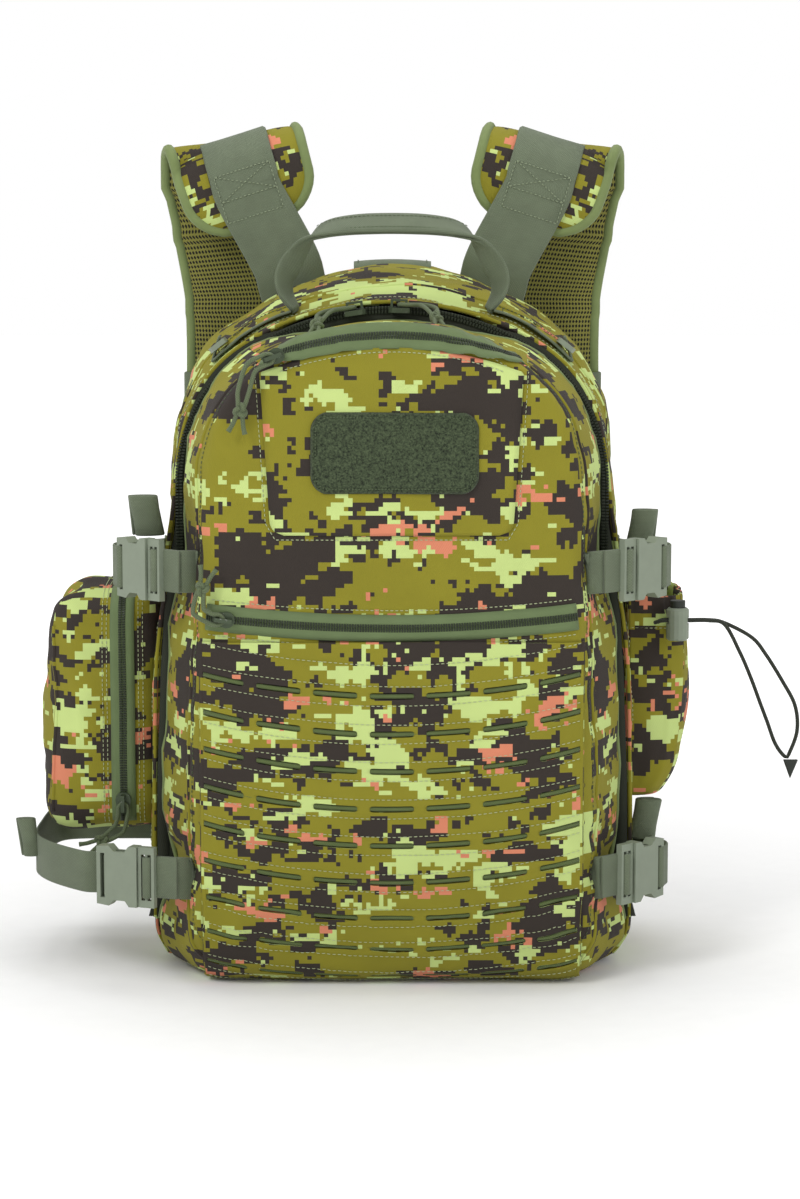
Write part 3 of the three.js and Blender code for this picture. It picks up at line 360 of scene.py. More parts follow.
LOOKS = {
    "webbing": webbing_material("webbing", srgb(100, 110, 88)),
    "green_webbing": webbing_material("green_webbing", srgb(86, 100, 56)),
    "binding": tape_material("binding", srgb(112, 126, 78)),
    "zip_tape": tape_material("zip_tape", srgb(96, 112, 74)),
    # The main zip's tape is near-black: painted shade of the deep gap between the front and rear sections.
    "dark_tape": tape_material("dark_tape", srgb(38, 42, 30)),
    "coil": plastic("coil", srgb(44, 50, 38), 0.35),
    "buckle": plastic("buckle", srgb(122, 131, 114)),
    "dark_plastic": plastic("dark_plastic", srgb(38, 42, 36), 0.5),
    "slider_metal": painted_metal("slider_metal", srgb(70, 80, 62)),
    "cord": cord_material("cord", srgb(92, 104, 74)),
    "elastic": cord_material("elastic", srgb(40, 44, 34)),
    "thread": plain_cloth("thread", srgb(176, 186, 146)),
    "pale_thread": plain_cloth("pale_thread", srgb(138, 148, 122)),
    "dark_thread": plain_cloth("dark_thread", srgb(84, 96, 70)),
    "lining": plain_cloth("lining", srgb(34, 37, 28)),
    "mesh": spacer_mesh("spacer_mesh"),
    "mesh_uv": spacer_mesh("spacer_mesh_uv", "uv"),
    "pile": pile_material(),
    "steel": painted_metal("steel", srgb(150, 152, 150)),
    "camo_front": camo("camo_front", 3.1),
    "camo_rear": camo("camo_rear", 21.7),
    "camo_panel": camo("camo_panel", 40.3),
    "camo_pouch": camo("camo_pouch", 12.4, brown=0.505),
    "camo_cup": camo("camo_cup", 66.6, brown=0.505),
    "camo_strap": camo("camo_strap", 80.2, "uv"),
}


# ---- mesh helpers ----
def piece(name, points, faces, body, look, uvs=None, smooth=True):
    """A mesh object from points in millimetres. uvs holds one (u, v) per face corner, in
    order."""
    mesh = bpy.data.meshes.new(name)
    mesh.from_pydata([tuple(p * MM for p in point) for point in points], [], faces)
    if uvs:
        layer = mesh.uv_layers.new(name="UVMap")
        layer.data.foreach_set("uv", [c for uv in uvs for c in uv])
    for entry in look if isinstance(look, list) else [look]:
        mesh.materials.append(LOOKS[entry])
    mesh.polygons.foreach_set("use_smooth", [smooth] * len(mesh.polygons))
    made = bpy.data.objects.new(name, mesh)
    bpy.context.scene.collection.objects.link(made)
    if body:
        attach(made, body)
    return made


def modifier(target, kind, **settings):
    added = target.modifiers.new(kind.lower(), kind)
    for key, value in settings.items():
        setattr(added, key, value)
    return added


def apply_modifiers(target):
    """Turns the modified shape into the mesh itself."""
    depsgraph = bpy.context.evaluated_depsgraph_get()
    depsgraph.update()
    mesh = bpy.data.meshes.new_from_object(target.evaluated_get(depsgraph))
    target.modifiers.clear()
    target.data = mesh
    return target


def subdivided(target, levels):
    modifier(target, "SUBSURF", levels=levels, render_levels=levels)
    return apply_modifiers(target)


def spline(points, count):
    """Evenly spaced points on a smooth curve through the given points."""
    ends = [points[0] * 2 - points[1], *points, points[-1] * 2 - points[-2]]
    dense = []
    for i in range(1, len(ends) - 2):
        a, b, c, d = ends[i - 1 : i + 3]
        slope, bend, twist = c - a, 2 * a - 5 * b + 4 * c - d, 3 * b - a - 3 * c + d
        for t in (k / 16 for k in range(16)):
            dense.append(0.5 * ((2 * b) + slope * t + bend * t * t + twist * t**3))
    dense.append(points[-1].copy())
    return resample(dense, count)


def resample(points, count):
    lengths = [0.0]
    for a, b in zip(points, points[1:]):
        lengths.append(lengths[-1] + (b - a).length)
    result, j = [], 0
    for i in range(count + 1):
        target = lengths[-1] * i / count
        while j < len(lengths) - 2 and lengths[j + 1] < target:
            j += 1
        span = lengths[j + 1] - lengths[j]
        share = (target - lengths[j]) / span if span > 1e-9 else 0
        result.append(points[j].lerp(points[j + 1], min(1, max(0, share))))
    return result


def tangents(points, closed=False):
    count = len(points)
    result = []
    for i in range(count):
        after = points[(i + 1) % count] if closed else points[min(i + 1, count - 1)]
        before = points[i - 1] if closed or i else points[0]
        result.append((after - before).normalized())
    return result


def loft(name, rings, body, look, closed=False, caps=True):
    """A skin over equal rings of points; uv is millimetres round the ring and along the rings."""
    count = len(rings[0])
    points = [p for ring in rings for p in ring]
    around = [[0.0] for _ in rings]
    for ring, lengths in zip(rings, around):
        for i in range(count):
            lengths.append(lengths[-1] + (ring[(i + 1) % count] - ring[i]).length)
    along = [0.0]
    for a, b in zip(rings, rings[1:]):
        along.append(along[-1] + (b[0] - a[0]).length)
    along.append(along[-1] + (rings[0][0] - rings[-1][0]).length)
    faces, uvs = [], []
    for r in range(len(rings) if closed else len(rings) - 1):
        s = (r + 1) % len(rings)
        for i in range(count):
            j = (i + 1) % count
            faces.append((r * count + i, r * count + j, s * count + j, s * count + i))
            uvs += [(around[r][i], along[r]), (around[r][i + 1], along[r])]
            uvs += [(around[s][i + 1], along[r + 1]), (around[s][i], along[r + 1])]
    if caps and not closed:
        faces.append(tuple(reversed(range(count))))
        faces.append(tuple(range(len(points) - count, len(points))))
        uvs += [(0.0, 0.0)] * (2 * count)
    return face_out(piece(name, points, faces, body, look, uvs))


def face_out(target):
    """Turns every face of a closed skin to look outwards."""
    mesh = bmesh.new()
    mesh.from_mesh(target.data)
    bmesh.ops.recalc_face_normals(mesh, faces=mesh.faces)
    mesh.to_mesh(target.data)
    mesh.free()
    return target


def tube(name, path, radius, body, look, closed=False, sides=10):
    """A round cord along a path of points. radius is a number, or a function of the share of the path."""
    directions = tangents(path, closed)
    normal = directions[0].orthogonal().normalized()
    rings = []
    for i, (point, along) in enumerate(zip(path, directions)):
        normal = (normal - along * normal.dot(along)).normalized()
        side = along.cross(normal)
        size = radius(i / (len(path) - 1)) if callable(radius) else radius
        angles = [TURN * k / sides for k in range(sides)]
        rings.append([point + normal * (size * math.cos(a)) + side * (size * math.sin(a)) for a in angles])
    return loft(name, rings, body, look, closed)


def welt(name, path, radius, body, look):
    """A sewn edge of the bag's own cloth, or its binding."""
    tube(name, path, radius, body, look, sides=8)


def flat_section(point, side, out, half_width, half_thick):
    """The rounded section of a flat band: two broad faces and two soft edges."""
    edge = min(half_thick, half_width * 0.2)
    across = [-half_width + edge, -half_width / 3, half_width / 3, half_width - edge]
    ring = [point + side * x + out * half_thick for x in across]
    ring.append(point + side * half_width)
    ring += [point + side * x - out * half_thick for x in reversed(across)]
    ring.append(point - side * half_width)
    return ring


def band(name, points, side, width, body, look="webbing", thick=1.8, steps=40):
    """A band of webbing along a smooth path. side is one direction, or one for each point."""
    path = spline(points, steps)
    rings = []
    sides = side if isinstance(side, list) else [side, side]
    for i, (point, along) in enumerate(zip(path, tangents(path))):
        place = i / steps * (len(sides) - 1)
        k = min(int(place), len(sides) - 2)
        across = sides[k].lerp(sides[k + 1], place - k)
        across = (across - along * across.dot(along)).normalized()
        rings.append(flat_section(point, across, along.cross(across).normalized(), width / 2, thick / 2))
    return loft(name, rings, body, look)


def sheet(name, grid, body, look, thick=0.0, holes=None, subdivide=0):
    """A grid of points as one cloth layer; holes says which cells are left open."""
    columns = len(grid[0])
    points = [p for row in grid for p in row]
    faces, uvs = [], []
    for i in range(len(grid) - 1):
        for j in range(columns - 1):
            if holes and holes(i, j):
                continue
            corners = ((i, j), (i, j + 1), (i + 1, j + 1), (i + 1, j))
            faces.append(tuple(a * columns + b for a, b in corners))
            uvs += [((grid[a][b] - grid[a][0]).length, (grid[a][0] - grid[0][0]).length) for a, b in corners]
    made = piece(name, points, faces, body, look, uvs)
    if subdivide:
        modifier(made, "SUBSURF", levels=subdivide, render_levels=subdivide)
    if thick:
        modifier(made, "SOLIDIFY", thickness=thick * MM, offset=0)
    return made


# A run is a list of (point, normal) that lies on a surface.
def run_frames(run):
    for (point, normal), along in zip(run, tangents([p for p, _ in run])):
        side = along.cross(normal).normalized()
        yield point, along, side, side.cross(along).normalized()


def shifted(run, offset, lift=0.0):
    return [(p + side * offset + out * lift, out) for p, _, side, out in run_frames(run)]


def walk(run, pitch, fill):
    """Start, end and normal of each stitch or tooth along a run."""
    total = sum((b[0] - a[0]).length for a, b in zip(run, run[1:]))
    count = max(1, int(total / pitch))
    points = resample([p for p, _ in run], count * 2)
    normals = resample([n for _, n in run], count * 2)
    for i in range(count):
        start, middle = points[2 * i], points[2 * i + 1]
        half = (middle - start) * fill
        yield middle - half, middle + half, normals[2 * i + 1].normalized()


def stitches(name, runs, body, look="thread", pitch=3.3, radius=0.32):
    """Rows of sewn stitches, each one a short thread that dips into the cloth at both ends."""
    points, faces = [], []
    for start, end, normal in (stitch for run in runs for stitch in walk(run, pitch, 0.78)):
        side = (end - start).normalized().cross(normal)
        base = len(points)
        points += [start - normal * radius, end - normal * radius]
        for share in (0.25, 0.75):
            centre = start.lerp(end, share) + normal * radius * 0.7
            for a, b in ((1, 0), (0, 1), (-1, 0), (0, -1)):
                points.append(centre + side * a * radius + normal * b * radius)
        for k in range(4):
            m = (k + 1) % 4
            faces.append((base, base + 2 + k, base + 2 + m))
            faces.append((base + 2 + k, base + 6 + k, base + 6 + m, base + 2 + m))
            faces.append((base + 6 + k, base + 1, base + 6 + m))
    piece(name, points, faces, body, look)


TOOTH_LEVELS = ((0.0, 1.0), (0.75, 1.0), (1.15, 0.6))
TOOTH_HALF = 1.25
TOOTH_ROW = 1.35


def coil_teeth(name, run, body, pitch=1.75):
    """The two rows of a coil zip, as rounded teeth that lean towards each other."""
    points, faces = [], []
    for row in (-TOOTH_ROW, TOOTH_ROW):
        for start, end, normal in walk(shifted(run, row), pitch, 0.66):
            along, centre = (end - start) / 2, (start + end) / 2
            side = along.normalized().cross(normal)
            base = len(points)
            for height, shrink in TOOTH_LEVELS:
                for a, b in ((-1, -1), (1, -1), (1, 1), (-1, 1)):
                    corner = side * (a * TOOTH_HALF * shrink) + along * b * shrink
                    points.append(centre + corner + normal * height)
            for level in (base, base + 4):
                for k in range(4):
                    m = (k + 1) % 4
                    faces.append((level + k, level + m, level + 4 + m, level + 4 + k))
            faces.append(tuple(base + 8 + k for k in range(4)))
            faces.append(tuple(base + k for k in (3, 2, 1, 0)))
    piece(name, points, faces, body, "coil", smooth=False)


def zip_fastener(name, run, body, half=9.0):
    """Tape and coil along a run; the tape stands for the CAD zip."""
    offsets = [-half, -half * 0.6, -2.8, -1.2, 1.2, 2.8, half * 0.6, half]
    lifts = [0.2, 0.5, 0.8, 0.5, 0.5, 0.8, 0.5, 0.2]
    grid = [[p + side * o + out * h for o, h in zip(offsets, lifts)] for p, _, side, out in run_frames(run)]
    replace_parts(sheet(f"{name}_tape", grid, body, "zip_tape", 0.7), f"{name}_zip")
    coil_teeth(f"{name}_coil", shifted(run, 0, 0.7), body)


# ---- outlines that the CAD and the cloth share ----
def arc(x, z, radius, start, end, steps):
    angles = [math.radians(start + (end - start) * i / steps) for i in range(steps + 1)]
    return [(x + radius * math.cos(angle), z + radius * math.sin(angle)) for angle in angles]


def line(a, b, steps):
    return [(a[0] + (b[0] - a[0]) * i / steps, a[1] + (b[1] - a[1]) * i / steps) for i in range(steps)]


def mirrored(points):
    return [(-x, z) for x, z in reversed(points)]


def arch_half(step, foot_z, fine=1):
    """Right half of the arch: up the side, round the shoulder and over to the middle."""
    turn = 90 - CROWN_TURN
    side = line((FRONT_HALF + step, foot_z), (FRONT_HALF + step, SHOULDER_Z), 14 * fine)
    shoulder = arc(SHOULDER_X, SHOULDER_Z, SHOULDER + step, 0, turn, 10 * fine)[:-1]
    return side + shoulder + arc(0, CROWN_Z, CROWN + step, turn, 90, 10 * fine)


def arch(step, foot_z, fine=2):
    right = arch_half(step, foot_z, fine)
    return right + mirrored(right)[1:]


def outline(step, base, foot=FOOT):
    half = FRONT_HALF + step
    right = line((0, base), (half - foot, base), 8)
    right += arc(half - foot, base + foot, foot, -90, 0, 7)[:-1]
    right += arch_half(step, base + foot)
    return right + mirrored(right)[1:-1]


def ring_at(points, y, lift=0.0):
    """A ring of points at a depth, made taller at its top by lift."""
    return [Vector((x, y, z * (1 + lift / FRONT_TOP))) for x, z in points]


def four_arcs(middle, reach, radius):
    """Quarter circles about four points, each a reach away from the middle."""
    loop = []
    for sx, sz, start in QUARTERS:
        loop += arc(middle[0] + sx * reach[0], middle[1] + sz * reach[1], radius, start, start + 90, 8)
    return loop


# ---- cloth ----
def swell(target, voxel, cap, held, pressure=5.0):
    """Fills a closed cloth body with air, so that it swells between the places that are held."""
    modifier(target, "REMESH", mode="VOXEL", voxel_size=voxel * MM)
    apply_modifiers(target)
    target.data.polygons.foreach_set("use_smooth", [True] * len(target.data.polygons))
    rest = [v.co.copy() for v in target.data.vertices]
    group = target.vertex_groups.new(name="held")
    group.add([i for i, co in enumerate(rest) if held(co / MM)], 1.0, "REPLACE")
    cloth = modifier(target, "CLOTH").settings
    cloth.use_pressure = True
    cloth.uniform_pressure_force = pressure
    cloth.effector_weights.gravity = 0
    cloth.vertex_group_mass = "held"
    cloth.bending_stiffness = 1.5
    for number in range(1, 21):
        bpy.context.scene.frame_set(number)
    apply_modifiers(target)
    bpy.context.scene.frame_set(1)
    for vertex, start in zip(target.data.vertices, rest):
        move = vertex.co - start
        if move.length > cap * MM:
            vertex.co = start + move.normalized() * (cap * MM)
    modifier(target, "SMOOTH", factor=0.5, iterations=2)
    return apply_modifiers(target)


def crumple(target, amount, size, seed, where=lambda place: 1.0):
    """Soft wrinkles: moves each point along its normal by smooth noise."""
    normals = [v.normal.copy() for v in target.data.vertices]
    for vertex, normal in zip(target.data.vertices, normals):
        place = vertex.co / MM
        share = where(place)
        if share > 0:
            sample = Vector([p / s for p, s in zip(place, size)]) + Vector((seed, seed, seed))
            vertex.co += normal * (noise.noise(sample) * amount * share * MM)


def surface_tree(target):
    depsgraph = bpy.context.evaluated_depsgraph_get()
    depsgraph.update()
    return BVHTree.FromObject(target, depsgraph)


def press(tree, origin, direction, lift):
    """The point where a line meets a surface, lifted off it, and the surface's normal there."""
    start, heading = Vector(origin), Vector(direction).normalized()
    hit, normal, _, _ = tree.ray_cast(start * MM, heading)
    if hit is None:
        hit, normal, _, _ = tree.find_nearest(start * MM)
    if normal.dot(heading) > 0:
        normal = -normal
    return hit / MM + normal * lift, normal


BAG_MIDDLE = Vector((0, 20, 230))


def hug(tree, point, lift):
    """The nearest point of a surface, lifted off it, away from the middle of the bag."""
    hit, normal, _, _ = tree.find_nearest(Vector(point) * MM)
    if normal.dot(hit / MM - BAG_MIDDLE) < 0:
        normal = -normal
    return hit / MM + normal * lift, normal


def ease(value):
    value = min(1.0, max(0.0, value))
    return value * value * (3 - 2 * value)


def above(value, start, span):
    """0 up to start, then growing softly to 1 over a span."""
    return ease((value - start) / span)


def below(value, start, span):
    """0 down to start, then growing softly to 1 over a span below it."""
    return ease((start - value) / span)


def hump(value, width):
    return math.exp(-((value / width) ** 2))


# ---- front section ----
SEAM_ANGLE = 55
SEAM_Y = FRONT_FACE + EDGE_DEPTH * (1 - math.cos(math.radians(SEAM_ANGLE)))
UPPER_STRAP_Z = 288
LOWER_STRAP_Z = 78
LOWER_ZIP = {"centre": 1231, "radius": 980}
ORGANIZER = {"centre": 218, "radius": 229}


def tapered(point, base, drop, start, span):
    """Moves a side point out near the base and in under the shoulder, as the filled bag hangs."""
    wide = base - drop * above(point.z, start, span)
    wide *= 1 - above(point.z, 352, 100)
    return math.copysign(1, point.x) * wide * above(abs(point.x), 60, 70)


def widened(point):
    """The front section flares towards the back; only the middle of its top stays clear of the rear."""
    back = above(point.y, SEAM_Y, FRONT_REAR - SEAM_Y)
    centre = Vector((0, point.y, min(point.z, SHOULDER_Z)))
    out = (point - centre).normalized() if point.z > SHOULDER_Z else ACROSS * math.copysign(1, point.x)
    flare = 10 + 8 * below(point.z, 330, 90) + 7 * below(point.z, 62, 32)
    flared = point + out * (back * above(abs(point.x), 48, 50) * flare)
    flared.x += tapered(point, base=2, drop=9, start=95, span=250)
    return flared


def edge_at(angle):
    """Inset share and depth of the front section's rounded edge."""
    turn = math.radians(angle)
    return 1 - math.sin(turn), FRONT_FACE + EDGE_DEPTH * (1 - math.cos(turn))


def front_ring(angle):
    inset, y = edge_at(angle)
    ring = ring_at(outline(-EDGE_SIDE * inset, FRONT_BASE + EDGE_FOOT * inset), y, FACE_LIFT * inset)
    return [widened(p) for p in ring]


def straight_ring(share):
    y = FRONT_FACE + EDGE_DEPTH + (FRONT_REAR - FRONT_FACE - EDGE_DEPTH) * share
    return [widened(p) for p in ring_at(outline(0, FRONT_BASE), y)]


def front_held(p):
    """The zips, the seams and the rear edge don't swell."""
    for zip_line, half, reach in ((ORGANIZER, 6, 88), (LOWER_ZIP, 7, 128)):
        away = math.hypot(p.x, p.z - zip_line["centre"])
        if abs(away - zip_line["radius"]) < half and abs(p.x) < reach and p.y < FRONT_FACE + 8:
            return True
    return abs(p.y - SEAM_Y) < 3 or p.y > FRONT_REAR - 5 or p.z < FRONT_BASE + 4


def front_section():
    rings = [front_ring(angle) for angle in (0, 12, 24, 36, 46, SEAM_ANGLE, 65, 77, 90)]
    rings += [straight_ring(share) for share in (0.33, 0.66, 1.0)]
    body = loft("front_body", rings, "front", "camo_front")
    swell(body, 5.0, 9.0, front_held)
    pinch_front(body)
    subdivided(body, 1)
    body.data.polygons.foreach_set("use_smooth", [True] * len(body.data.polygons))
    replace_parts(body, "front_shell")
    return body


def pinch_front(body):
    """The compression straps pull the sides in; folds run away from them."""
    for vertex in body.data.vertices:
        p = vertex.co / MM
        side = above(abs(p.x), 95, 45)
        back = above(p.y, FRONT_FACE + 10, 30)
        pull = 6 * hump(p.z - UPPER_STRAP_Z, 24) + 7 * hump(p.z - LOWER_STRAP_Z, 22)
        fold = 1.6 * math.sin(p.z * 0.23 + p.y * 0.11) * hump(p.z - LOWER_STRAP_Z, 60) * side
        seam = 1.4 * hump(p.y - SEAM_Y, 4) * (1 if p.z > 10 else 0)
        inwards = side * (0.3 + 0.7 * back) * pull + fold
        x = p.x - math.copysign(inwards, p.x) - math.copysign(seam * side, p.x)
        z = max(p.z - (seam if p.z > 400 else 0), 1.0)
        vertex.co = Vector((x, p.y, z)) * MM
    crumple(body, 2.6, (70, 40, 34), 4.0, lambda p: 0.25 + 0.75 * above(p.y, SEAM_Y - 20, 30))
    crumple(body, 1.6, (46, 30, 16), 9.0)


front_tree = surface_tree(front_section())


def on_front(x, z, lift=0.0):
    return press(front_tree, (x, FRONT_FACE - 90, z), BACKWARD, lift)


def front_run(points, lift=0.0):
    return [on_front(x, z, lift) for x, z in points]


def zip_run(zip_line, start, end, steps, lift, step=0):
    """Along a pocket zip, or a step outside it."""
    return front_run(arc(0, zip_line["centre"], zip_line["radius"] + step, start, end, steps), lift)


def seam_run(angle, lift=0.0):
    """Along the edge of the front panel, up one side, over the top and down the other."""
    inset, y = edge_at(angle)
    foot = FRONT_BASE + FOOT + EDGE_FOOT * inset
    path = arch(-EDGE_SIDE * inset, 8 + EDGE_FOOT * inset)
    corner = arc(FRONT_HALF - FOOT - EDGE_SIDE * inset, foot, FOOT, -84, -6, 10)
    loop = corner + [p for p in path if p[1] > foot] + mirrored(corner)
    return [hug(front_tree, widened(Vector((x, y, z))), lift) for x, z in loop]


def front_seams():
    welt("front_welt", [p for p, _ in seam_run(SEAM_ANGLE, -0.4)], 2.1, "front", "camo_front")
    edge = [widened(p) for p in ring_at(arch(1.0, 34), FRONT_REAR - 1.5)]
    welt("front_rear_binding", [hug(front_tree, p, 0.5)[0] for p in edge], 1.7, "front", "binding")
    row = seam_run(SEAM_ANGLE - 17, 0.2)
    stitches("front_seam_stitches", [row], "front", "dark_thread")


front_seams()
PANEL_FOOT = 314
PANEL_CORNER = 9


def panel_half(z):
    """Half width of the organiser panel at a height."""
    rise = z - PANEL_FOOT
    half = 81 + 7 * rise / 110
    if rise < PANEL_CORNER:
        half -= PANEL_CORNER - math.sqrt(PANEL_CORNER**2 - (PANEL_CORNER - rise) ** 2)
    return half


def organizer_pocket():
    zip_fastener("organizer", zip_run(ORGANIZER, 112, 68, 60, 0.5), "front")
    rows = []
    for i in range(31):
        share = ease(i / 30) * 0.4 + 0.6 * i / 30
        row = []
        for across in (2 * j / 30 - 1 for j in range(31)):
            top = ORGANIZER["centre"] + math.sqrt((ORGANIZER["radius"] - 8) ** 2 - (across * 85) ** 2)
            z = top + (PANEL_FOOT - top) * share
            row.append(on_front(across * panel_half(z), z, 1.1)[0])
        rows.append(row)
    made = sheet("organizer_panel_cloth", rows, "front", "camo_panel", 1.1)
    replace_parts(made, "organizer_panel")
    side = [(panel_half(z) + 3, z) for z in range(430, 318, -4)]
    frame_line = side + [(x, PANEL_FOOT - 3) for x in range(78, -79, -4)] + mirrored(side)
    rows = [front_run(frame_line, 0.25), zip_run(ORGANIZER, 110, 70, 60, 1.9, -11)]
    rows.append(zip_run(ORGANIZER, 111, 69, 60, 0.25, 11.5))
    stitches("organizer_stitches", rows, "front", "thread")


def lower_pocket():
    zip_fastener("lower_pocket", zip_run(LOWER_ZIP, 262.7, 277.3, 70, 0.5), "front")
    rows = [zip_run(LOWER_ZIP, 262.8, 277.2, 70, 0.25, step) for step in (-12, 12)]
    stitches("lower_zip_stitches", rows, "front", "thread")


organizer_pocket()
lower_pocket()
PATCH = {"x": 2, "z": 369, "half": 56, "high": 27, "corner": 12}


def patch_half(z):
    """Half width of the loop patch at a height, with its round corners."""
    reach, corner = PATCH["high"] - abs(z - PATCH["z"]), PATCH["corner"]
    if reach >= corner:
        return PATCH["half"]
    return PATCH["half"] - corner + math.sqrt(max(0, corner**2 - (corner - reach) ** 2))


def loop_patch():
    rows = []
    for i in range(49):
        z = PATCH["z"] + (PATCH["high"] - 0.05) * math.cos(math.pi * i / 48)
        row = []
        for j in range(97):
            x = PATCH["x"] - patch_half(z) * math.cos(math.pi * j / 96)
            edge = min(PATCH["high"] - abs(z - PATCH["z"]), patch_half(z) - abs(x - PATCH["x"]))
            rough = noise.noise(Vector((x, z, 0)) * 0.8) * 0.5 + noise.noise(Vector((x, z, 9)) * 1.9) * 0.4
            lift = 2.3 + 2.7 * ease(edge / 2.2) + rough * ease(edge / 4) - 0.8 * hump(edge - 3.4, 0.8)
            row.append(on_front(x, z, lift)[0])
        rows.append(row)
    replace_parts(sheet("loop_patch_pile", rows, "front", "pile", 0.5), "loop_patch")
    inset, corner = 3.4, PATCH["corner"] - 3
    reach = (PATCH["half"] - inset - corner, PATCH["high"] - inset - corner)
    border = front_run(four_arcs((PATCH["x"], PATCH["z"]), reach, corner), 4.7)
    stitches("loop_patch_stitches", [border + border[:1]], "front", "dark_thread", 2.2, 0.4)


loop_patch()

# ---- slotted panel ----
SLOT_ROWS = 10
SLOT_COLUMNS = 7
ROW_PITCH = 25.4
COLUMN_PITCH = 38.1
SLOT_HALF = 15
SLOT_HIGH = 2.1
FIRST_ROW = 36
PANEL_TOP = 241.5
PANEL_HALF = 128
SAG = 12
ROWS = [FIRST_ROW + r * ROW_PITCH for r in range(SLOT_ROWS)]


def down_the_front(length):
    """Place and outward direction of the front fabric, a length below the slotted panel's top."""
    flat = PANEL_TOP - EDGE_FOOT - FRONT_BASE
    if length <= flat:
        return FRONT_FACE, PANEL_TOP - length, FORWARD
    angle, walked = 0, flat
    while walked < length and angle < 90:
        turn = math.radians(angle)
        walked += math.radians(1) * math.hypot(EDGE_FOOT * math.cos(turn), EDGE_DEPTH * math.sin(turn))
        angle += 1
    turn = math.radians(angle)
    out = Vector((0, -EDGE_FOOT * math.cos(turn), -EDGE_DEPTH * math.sin(turn))).normalized()
    y = FRONT_FACE + EDGE_DEPTH * (1 - math.cos(turn)) + max(0, length - walked)
    return y, FRONT_BASE + EDGE_FOOT * (1 - math.sin(turn)), out


def on_panel(x, length, lift):
    y, z, out = down_the_front(max(0.0, length - SAG * (x / 115) ** 2))
    point, normal = press(front_tree, Vector((x, y, z)) + out * 40, -out, lift)
    return Vector((point.x, point.y, max(point.z, 0.6))), normal


def across_panel(length, lift, pitch):
    return [on_panel(x, length, lift) for x in range(2 - PANEL_HALF, PANEL_HALF - 1, pitch)]


def slotted_panel():
    columns = [-PANEL_HALF, -PANEL_HALF + 3]
    for c in range(SLOT_COLUMNS):
        middle = (c - (SLOT_COLUMNS - 1) / 2) * COLUMN_PITCH
        columns += [middle + s for s in (-SLOT_HALF, -SLOT_HALF + 3, -5, 5, SLOT_HALF - 3, SLOT_HALF)]
    columns += [PANEL_HALF - 3, PANEL_HALF]
    lengths, slot_rows = [-4.0, 6, 18], set()
    for middle in ROWS:
        lengths += [middle - 7, middle - SLOT_HIGH - 1.5, middle - SLOT_HIGH, middle + SLOT_HIGH]
        slot_rows.add(len(lengths) - 2)
        lengths += [middle + SLOT_HIGH + 1.5, middle + 7]
    slot_columns = {2 + 6 * c + k for c in range(SLOT_COLUMNS) for k in range(5)}
    rows = [[on_panel(x, length, 2.6)[0] for x in columns] for length in lengths]
    open_cell = lambda i, j: i in slot_rows and j in slot_columns
    made = sheet("slotted_panel", rows, "front", "camo_front", 1.1, open_cell, subdivide=2)
    apply_modifiers(made)
    for vertex in made.data.vertices:
        x, _, z = vertex.co / MM
        vertex.co.y += 0.5 * noise.noise(Vector((x / 26, z / 7, 3.0))) * MM
    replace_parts(made, "molle_panel")
    lines = []
    for number, middle in enumerate(ROWS, 1):
        path = [p for p, _ in across_panel(middle, 1.2, 6)]
        tube(f"slot_webbing_{number:02d}", path, 1.75, "front", "green_webbing", sides=8)
        lines += [across_panel(middle + offset, 3.4, 4) for offset in (-6.4, 6.4)]
    lines.append(across_panel(15, 3.4, 4))
    stitches("slotted_panel_stitches", lines, "front", "thread", 3.6, 0.28)


slotted_panel()

# ---- rear section ----
WALL = 4
BACK_EDGE = 16


def rear_shape(point):
    """The rear section's soft sides; its top panel rises towards the back and droops at the mouth."""
    forward = below(point.y, 40, 70)
    low = below(point.z, 340, 260)
    side = above(abs(point.x), 60, 70)
    lift = RISE * min(1.0, max(0.0, point.y) / (BACK - BACK_EDGE)) - 8 * below(point.y, 10, 40)
    point = Vector((point.x, point.y, point.z * (1 + lift / FRONT_TOP)))
    belly = 5 * math.sin(math.pi * above(point.y, MOUTH, BACK - MOUTH))
    wide = side * (4 * forward * low + belly - 3 * forward * hump(point.z - UPPER_STRAP_Z, 26))
    across = math.copysign(wide, point.x) + tapered(point, base=2, drop=13, start=200, span=150)
    return Vector((point.x + across, point.y, point.z + belly * above(point.z, 430, 50)))


def rear_section():
    """The shell, from the inside of the back wall round the mouth to the outside."""
    rings, inner_rings = [], 5
    for y in (BACK - WALL, BACK - 30, 30, -5, MOUTH):
        inset = WALL if y == MOUTH else 2.2 * WALL
        inset += BACK_EDGE / 2 if y == BACK - WALL else 0
        rings.append([rear_shape(p) for p in ring_at(outline(REAR_STEP - inset, inset, FOOT - WALL), y)])
    for y in (MOUTH, -22, -12, 2, 20, 40, 60, BACK - BACK_EDGE):
        rings.append([rear_shape(p) for p in ring_at(outline(REAR_STEP, 0), y)])
    for turn in map(math.radians, (30, 60, 90)):
        inset = BACK_EDGE * (1 - math.cos(turn))
        y = BACK - BACK_EDGE * (1 - math.sin(turn))
        rings.append(ring_at(outline(REAR_STEP - inset, inset), y, RISE))
    made = loft("rear_body", rings, "rear", ["camo_rear", "lining"])
    inner_faces = (inner_rings - 1) * len(rings[0])
    for face in made.data.polygons:
        if face.index < inner_faces or face.index == len(made.data.polygons) - 2:
            face.material_index = 1
    subdivided(made, 2)
    outside = lambda p: 1.0 if p.y > MOUTH + 3 and p.z > 6 else 0.0
    crumple(made, 3.4, (60, 34, 30), 2.0, outside)
    crumple(made, 1.5, (30, 18, 14), 6.0, outside)
    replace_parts(made, "rear_shell")
    return made


rear_tree = surface_tree(rear_section())


def rear_arch(y, step, lift):
    return [hug(rear_tree, rear_shape(p), lift) for p in ring_at(arch(REAR_STEP + step, 34), y)]


